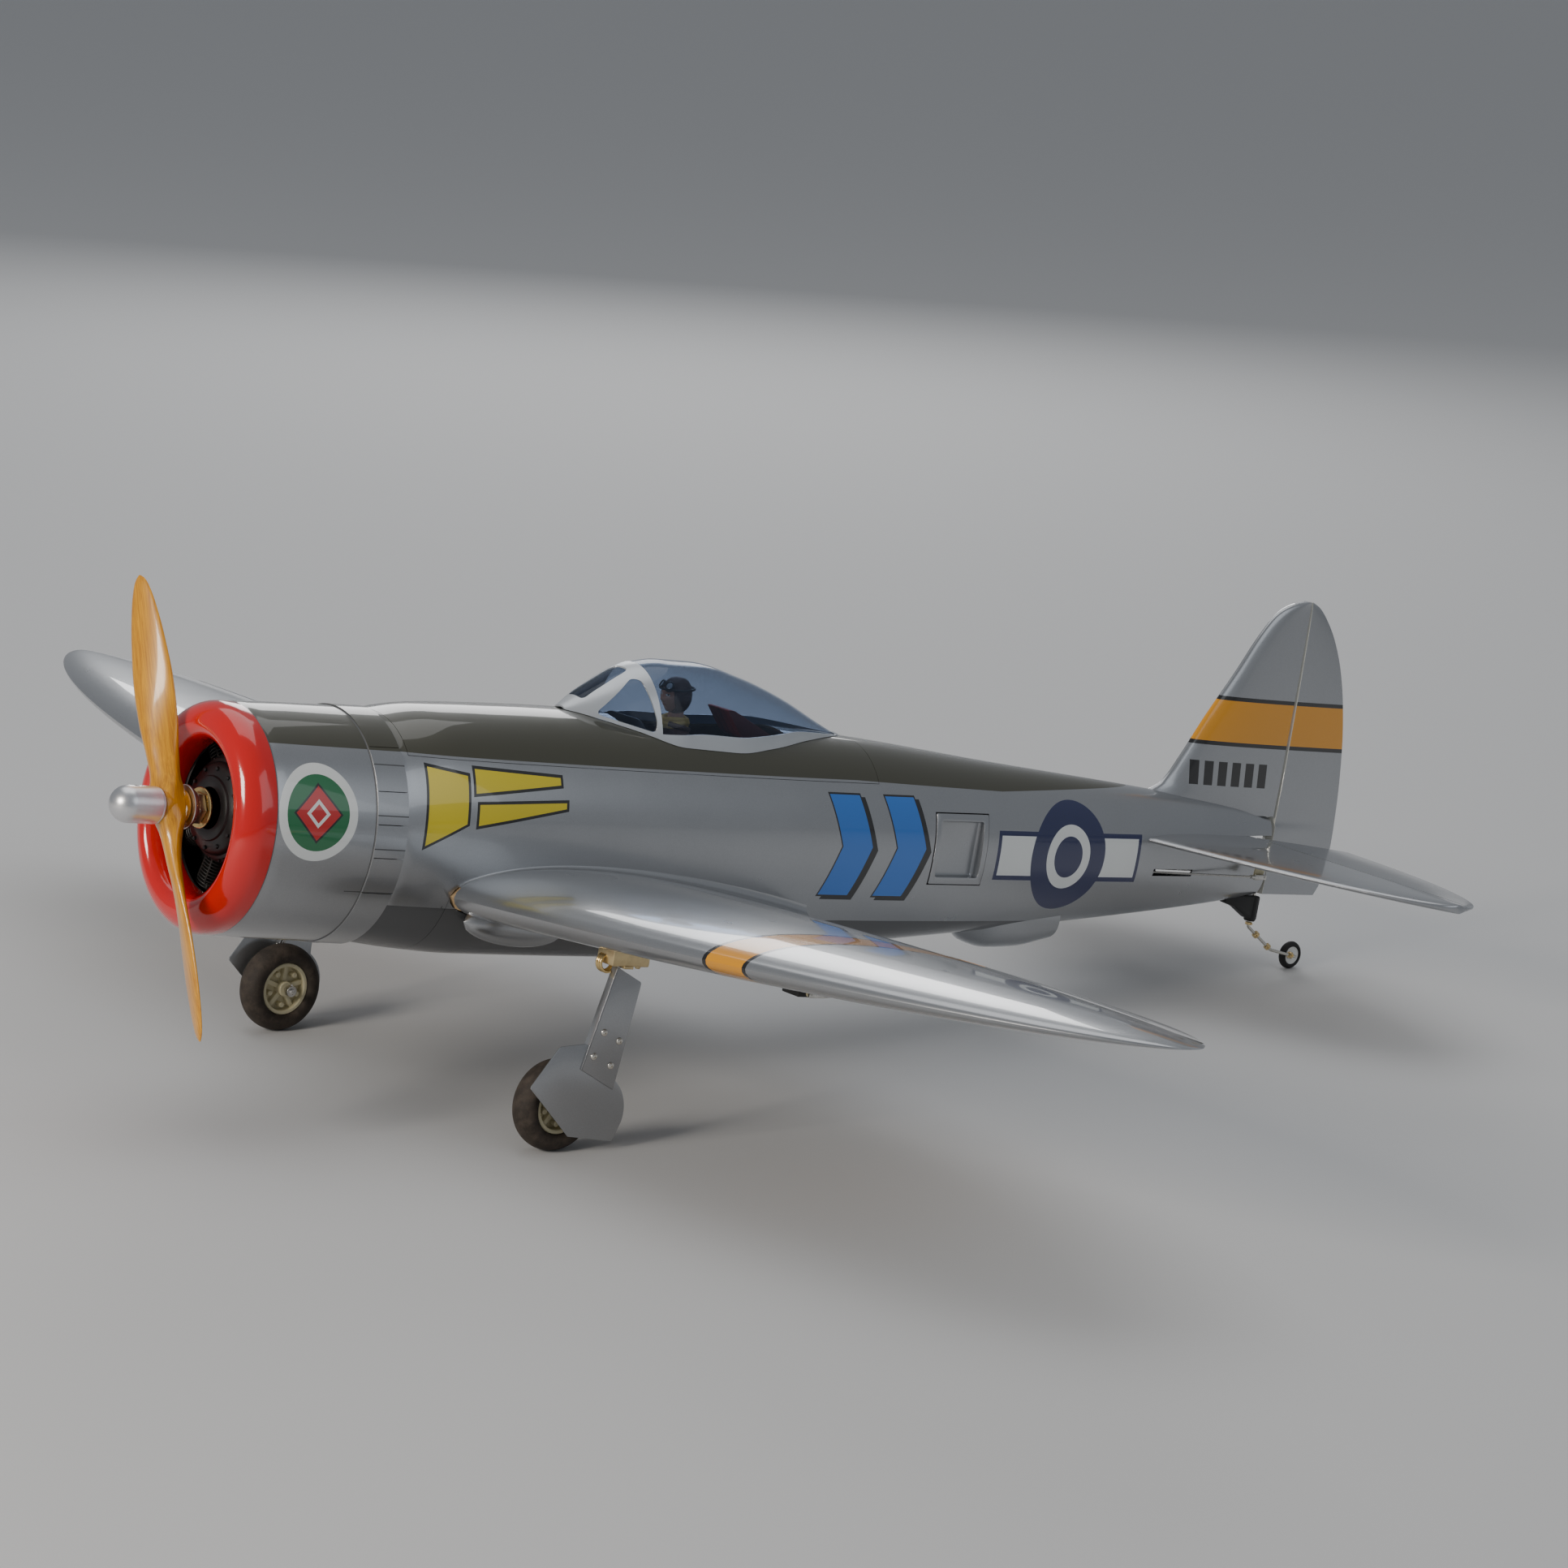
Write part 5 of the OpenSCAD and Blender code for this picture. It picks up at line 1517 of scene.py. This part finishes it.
class WARBIRD_OT_tailwheel(bpy.types.Operator):
    """Bends the tail wire and mounts the small wheel"""
    bl_idname = "warbird.tailwheel"
    bl_label = "Tail wheel"

    def execute(self, context):
        knee, ankle = (0, RUDDER_AT, -66), (8, 1342, TAIL_AXLE.z + 6)
        foot = (8, 1380, TAIL_AXLE.z)
        bent = wire("tail_wire_bent", [(0, RUDDER_AT, -12), knee, ankle, foot,
                                       (-7, 1380, TAIL_AXLE.z)], 1.6, 2.4, 4)
        settled(bent, 'rudder_body', plated("tail_steel", (0.7, 0.68, 0.62), 0.2),
                ['tail_wire'], 50)
        rings = []
        k, a, f = Vector(knee), Vector(ankle), Vector(foot)
        for at, aim, r, half in ((Vector((0, RUDDER_AT, -62.6)), (0, 0, 1), 3.6, 1.4),
                                 (k + (a - k) * 0.35, a - k, 3.6, 2.2),
                                 (k + (a - k) * 0.86, a - k, 3.4, 2), (Vector((8, 1372,
                                                                               TAIL_AXLE.z + 1.3)),
                                                                       f - a, 3.4, 2)):
            ring = turned("ring", [(1.7, -half), (r - 0.3, -half), (r, -half + 0.4),
                                   (r, half - 0.4), (r - 0.3, half), (1.7, half)], 28, axis='Z')
            rings.append(moved(ring, Matrix.Translation(at) @ turned_to(aim)))
            grub = turned("grub", [(0.001, r + 1.5), (1, r + 1.3), (1, r - 0.8), (0.001, r - 0.8)],
                          6, axis='X', closed=False)
            rings.append(moved(grub, Matrix.Translation(at) @ turned_to(aim)))
        settled(joined("tail_collars", rings), 'rudder_body',
                plated("collar_brass", (0.86, 0.66, 0.34), 0.16))
        outline = rounded_outline([(1268, -34), (1268, -42), (1284, -46), (1304, -57), (1317, -59),
                                   (1317, -34)], 2.5)
        shoe = sheet("bracket", -5, outline, 10, 1.2)
        tube = turned("tube", [(1.75, -60), (5, -60), (5.9, -59), (6, -57), (6, -35), (1.75, -34)],
                      32, (0, RUDDER_AT, 0), 'Z')
        settled(joined("tail_bracket_moulded", [shoe, tube]), 'airframe',
                moulded("bracket_black", (0.012, 0.012, 0.012), 0.4), ['tail_bracket'])
        tread = [(9.6 + 4.4 * cos(a), 4.3 * sin(a)) for a in steps(-1.4, 1.4, 18)]
        tyre = turned("tail_tyre_moulded", [(9, -3)] + tread + [(9, 3)], 56, tuple(TAIL_AXLE), 'X')
        settled(tyre, 'tail_wheel', moulded("tail_rubber", (0.014, 0.013, 0.013),
                                                           0.6, 0.2, 0.08), ['tail_tyre'], 45)
        disc = turned("tail_hub_moulded", [(1.66, -3.5), (2.9, -3.5), (3.1, -2.4), (7.6, -2.2),
                                           (8.1, -3), (8.95, -2.9), (8.95, 2.9), (8.1, 3),
                                           (7.6, 2.2), (3.1, 2.4), (2.9, 3.5), (1.66, 3.5)], 48,
                      tuple(TAIL_AXLE), 'X')
        settled(disc, 'tail_wheel', moulded("hub_white", (0.80, 0.80, 0.78), 0.35,
                                                             0.08, 0.01), ['tail_hub'])
        return {'FINISHED'}


def clevis(at, along=1, tall=5.0, wide=3.2):
    """A pushrod end: a pair of cheeks on a barrel, with its pin; it points along Y."""
    x, y, z = at
    a, b = sorted((y, y + 17 * along))
    body = block("clevis", (x - wide / 2, a, z - tall / 2), (x + wide / 2, b, z + tall / 2), 0.6)
    slot_low, slot_high = sorted((y - along, y + 11 * along))
    cut(body, block("tool", (x - 0.55, slot_low, z - 4), (x + 0.55, slot_high, z + 4)))
    pin = turned("pin", [(0.001, -wide / 2 - 0.5), (0.8, -wide / 2 - 0.5), (0.8, wide / 2 + 0.5),
                         (0.001, wide / 2 + 0.5)], 14, (x, y + 2.5 * along, z), 'X', False)
    collar = turned("sleeve", [(1.0, y + 16 * along), (2, y + 16 * along), (2, y + 21 * along),
                               (1.0, y + 21 * along)], 18, (x, 0, z), 'Y')
    return joined("clevis", [body, pin, collar])


class WARBIRD_OT_controls(bpy.types.Operator):
    """Models the servos, arms, pushrods and horns that move the surfaces"""
    bl_idname = "warbird.controls"
    bl_label = "Controls"

    def execute(self, context):
        nylon = moulded("horn_nylon", colours().nylon, 0.38, 0.12, 0.02, Coat_Weight=0.2)
        steel = plated("rod_steel", (0.64, 0.63, 0.60), 0.22)
        x, y = SERVO
        z = AILERON_ARM_HIGH
        case = block("case", (x - 11, y - 7, z - 12), (x + 11, y + 37, z + 10), 1.2)
        lid = block("lid", (x - 11.2, y - 7.2, z - 6.4), (x + 11.2, y + 37.2, z - 5.6), 0.2)
        boss = turned("boss", [(0.001, 11), (4.2, 11), (4.2, 12.4), (3, 12.8), (3, 13.8),
                               (0.001, 13.8)], 30, (x, y, z), 'X', False)
        settled(both(joined("servo", [case, lid, boss]), "aileron_servo_cases"), 'airframe',
                moulded("servo_black", (0.014, 0.014, 0.015), 0.4),
                ['aileron_servos'])
        arm_points = [(y + 4 * cos(a), z + 4 * sin(a)) for a in steps(0, pi, 10)]
        arm_points += [(y + 2.4 * cos(a), z - 8 + 2.4 * sin(a)) for a in steps(pi, 2 * pi, 8)]
        arm = sheet("arm", x + 14.4, arm_points, 2.4, 0.4)
        screw = turned("screw", [(0.001, 16.4), (2.2, 16.4), (2.2, 17), (1.6, 17.6), (0.001, 17.8)],
                       20, (x, y, z), 'X', False)
        arm = joined("arm", [arm, screw])
        rod_x, rod_z = x + 19.2, AILERON_ROD_HIGH
        rod = joined("rod", [wire("rod", [(rod_x, y + 14, rod_z), (rod_x, 530, rod_z)], 1),
                             clevis((rod_x, y - 3, rod_z), 1, 4.8, 2.4),
                             clevis((rod_x, 551, rod_z), -1, 4.8, 2.4)])
        foot = wing_surface(x + 15, 536, -1)
        horn = sheet("horn", x + 14.1, rounded_outline([(536, foot + 2.5), (556, foot + 2),
                                                        (552, foot - 4), (550, rod_z - 3),
                                                        (541, rod_z - 3), (538, foot - 4)], 2), 1.9,
                     0.3)
        base = block("base", (x + 8, 534, foot - 0.6), (x + 24, 560, foot + 1.6), 0.5)
        horn = joined("horn", [horn, base])
        for side, m in (("left", Matrix()), ("right", MIRROR)):
            settled(copied(arm, "servo_arm_" + side, m), 'aileron_arm_%s_body' % side,
                    nylon, ['aileron_arm_' + side])
            settled(copied(rod, "pushrod_" + side, m), 'aileron_rod_%s_body' % side,
                    steel, ['aileron_rod_' + side])
            settled(copied(horn, "aileron_horn_" + side, m), 'aileron_%s_body' % side,
                    nylon, ['aileron_' + side])
        for piece in (arm, rod, horn):
            bpy.data.objects.remove(piece)
        x, z = 37.6, TAIL_HIGH - 32
        rod = joined("elevator_pushrod", [wire("rod", [(x, 718, z), (x, 1270, z)], 1),
                                          clevis((x, 1284, z), -1, 5, 2.8)])
        settled(rod, 'elevator_rod_body', steel, ['elevator_rod'])
        horn = plate("elevator_horn", [(33, p, q) for p,
                                       q in rounded_outline([(1270, -11.5), (1272, 14), (1276, 21),
                                                             (1296, 21), (1300, 16), (1286, 4),
                                                             (1281, -11.5)], 2.5)], (2, 0, 0), 0.3)
        base = block("base", (26, 1278, 13.8), (43, 1304, 16.6), 0.6)
        settled(joined("elevator_horn", [horn, base]), 'elevator_body', nylon)
        x, z = -28, -17
        rod = joined("rudder_pushrod", [wire("rod", [(x, 658, z), (x, 1312, z)], 1),
                                        clevis((x, 1328, z), -1, 2.8, 5)])
        settled(rod, 'rudder_rod_body', steel, ['rudder_rod'])
        horn = plate("rudder_horn", [(p, q, -14) for p,
                                     q in rounded_outline([(-32, 1319), (-32, 1327), (-14, 1332),
                                                           (-4, 1344), (-4, 1316), (-14, 1318)],
                                                          2)], (0, 0, 2), 0.3)
        settled(horn, 'rudder_body', nylon)
        return {'FINISHED'}


class WARBIRD_OT_inside(bpy.types.Operator):
    """Finishes what lies inside: structure, motor, battery, receiver and servos"""
    bl_idname = "warbird.inside"
    bl_label = "Inside"

    def execute(self, context):
        ply = bare_ply()
        tube = turned_metal("joiner_aluminium", axis='x')
        wrap = Finish("battery_wrap", (0.02, 0.06, 0.28), 0.22, 0.0, Coat_Weight=0.4)
        wrap.layer(wrap.y.repeat(52) < 3, (0.01, 0.02, 0.08))
        wrap.layer(wrap.y.line(290, 34) & (wrap.z > 38), (0.7, 0.7, 0.68))
        wrap.bump(0.3 * wrap.noise(0.08, 3))
        case = moulded("case_grey", (0.03, 0.03, 0.035), 0.5)
        bell = turned_metal("motor_bell_black", (0.03, 0.03, 0.032), 0.3)
        pins = plated("hinge_pin_steel", (0.6, 0.6, 0.58))
        nylon = moulded("bolt_nylon", (0.75, 0.73, 0.65), 0.4)
        for names, finish in ((('firewall', 'wing_centre', 'equipment_tray'), ply),
                              (('wing_joiner', 'motor_mount', 'motor_stator'), tube),
                              (('battery',), wrap.done()), (('speed_controller', 'receiver',
                                                             'fuselage_servos'), case),
                              (('motor_bell',), bell), (('hinge_pins',), pins),
                              (('wing_bolts', 'elevator_arm', 'rudder_arm'), nylon)):
            for name in names:
                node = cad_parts[name]
                node.data.materials.clear()
                node.data.materials.append(finish)
        return {'FINISHED'}


CAMERA_AT = Vector((3576.5, -2379.0 + HUB_AT.y, 1253.7)) * MM
CAMERA_RIGHT = Vector((0.64945, 0.7604, 0))
CAMERA_UP = Vector((-0.16742, 0.1430, 0.97546))
CAMERA_BACK = Vector((0.74174, -0.63351, 0.22018))
CAMERA_ROLL = radians(4.7)


class WARBIRD_OT_stage(bpy.types.Operator):
    """Lays the floor and sets the lights and the camera"""
    bl_idname = "warbird.stage"
    bl_label = "Stage"

    def execute(self, context):
        clear_selection()
        bpy.ops.mesh.primitive_plane_add(size=40, location=(0, 0, 0))
        ground = named("floor")
        pale = bpy.data.materials.new("floor_pale")
        pale.use_nodes = True
        shader = pale.node_tree.nodes["Principled BSDF"]
        shader.inputs["Base Color"].default_value = (0.62, 0.62, 0.62, 1)
        shader.inputs["Roughness"].default_value = 0.9
        ground.data.materials.append(pale)
        world = bpy.data.worlds.new("studio")
        context.scene.world = world
        world.use_nodes = True
        world.node_tree.nodes["Background"].inputs[0].default_value = (0.80, 0.84, 0.90, 1)
        world.node_tree.nodes["Background"].inputs[1].default_value = 0.32
        for name, at, size, power_w, tint in (
                ("key", (0.5, -4.4, 1.9), 1.2, 110, (1, 0.93, 0.84)),
                ("fill", (4.5, 1.5, 2.6), 3.0, 26, (0.9, 0.95, 1)),
                ("top", (-1.0, 0.5, 4.5), 4.0, 60, (1, 1, 1)),
                ("rim", (-4.0, 3.0, 2.2), 2.0, 45, (1, 1, 1))):
            lamp = bpy.data.lights.new(name, 'AREA')
            lamp.size, lamp.energy, lamp.color = size, power_w, tint
            obj = bpy.data.objects.new(name, lamp)
            context.scene.collection.objects.link(obj)
            obj.location = at
            obj.rotation_euler = (Vector((0, 0, 0.2)) - Vector(at)).to_track_quat('-Z',
                                                                                  'Y').to_euler()
        right = CAMERA_RIGHT * cos(CAMERA_ROLL) + CAMERA_UP * sin(CAMERA_ROLL)
        up = CAMERA_UP * cos(CAMERA_ROLL) - CAMERA_RIGHT * sin(CAMERA_ROLL)
        lens = bpy.data.cameras.new("camera")
        lens.lens, lens.sensor_width = 120.24, 36
        lens.shift_y = 0.0342
        lens.clip_end = 100
        camera = bpy.data.objects.new("camera", lens)
        context.scene.collection.objects.link(camera)
        camera.matrix_world = Matrix((right, up, CAMERA_BACK)).transposed().to_4x4()
        camera.location = CAMERA_AT
        context.scene.camera = camera
        return {'FINISHED'}


BUILDERS = (WARBIRD_OT_fuselage, WARBIRD_OT_fairings, WARBIRD_OT_cowl, WARBIRD_OT_engine,
            WARBIRD_OT_propeller, WARBIRD_OT_wing, WARBIRD_OT_tailplane, WARBIRD_OT_fin,
            WARBIRD_OT_canopy, WARBIRD_OT_cockpit, WARBIRD_OT_gear, WARBIRD_OT_wheels,
            WARBIRD_OT_tailwheel, WARBIRD_OT_controls, WARBIRD_OT_inside, WARBIRD_OT_stage)


class WARBIRD_PT_panel(bpy.types.Panel):
    """Sizes, colours and the builders, in order"""
    bl_idname = "WARBIRD_PT_panel"
    bl_label = "Warbird"
    bl_space_type = 'VIEW_3D'
    bl_region_type = 'UI'
    bl_category = "Warbird"

    def draw(self, context):
        for group in (context.scene.warbird_sizes, context.scene.warbird_colours):
            box = self.layout.box()
            for name in group.__annotations__:
                box.prop(group, name)
        for builder in BUILDERS:
            self.layout.operator(builder.bl_idname)


CLASSES = (WarbirdSizes, WarbirdColours, *BUILDERS, WARBIRD_PT_panel)


def register():
    for cls in CLASSES:
        bpy.utils.register_class(cls)
    bpy.types.Scene.warbird_sizes = PointerProperty(type=WarbirdSizes)
    bpy.types.Scene.warbird_colours = PointerProperty(type=WarbirdColours)


def unregister():
    del bpy.types.Scene.warbird_colours, bpy.types.Scene.warbird_sizes
    for cls in reversed(CLASSES):
        bpy.utils.unregister_class(cls)


def main():
    register()
    for builder in BUILDERS:
        group, name = builder.bl_idname.split(".")
        getattr(getattr(bpy.ops, group), name)()


if __name__ == "__main__":
    main()
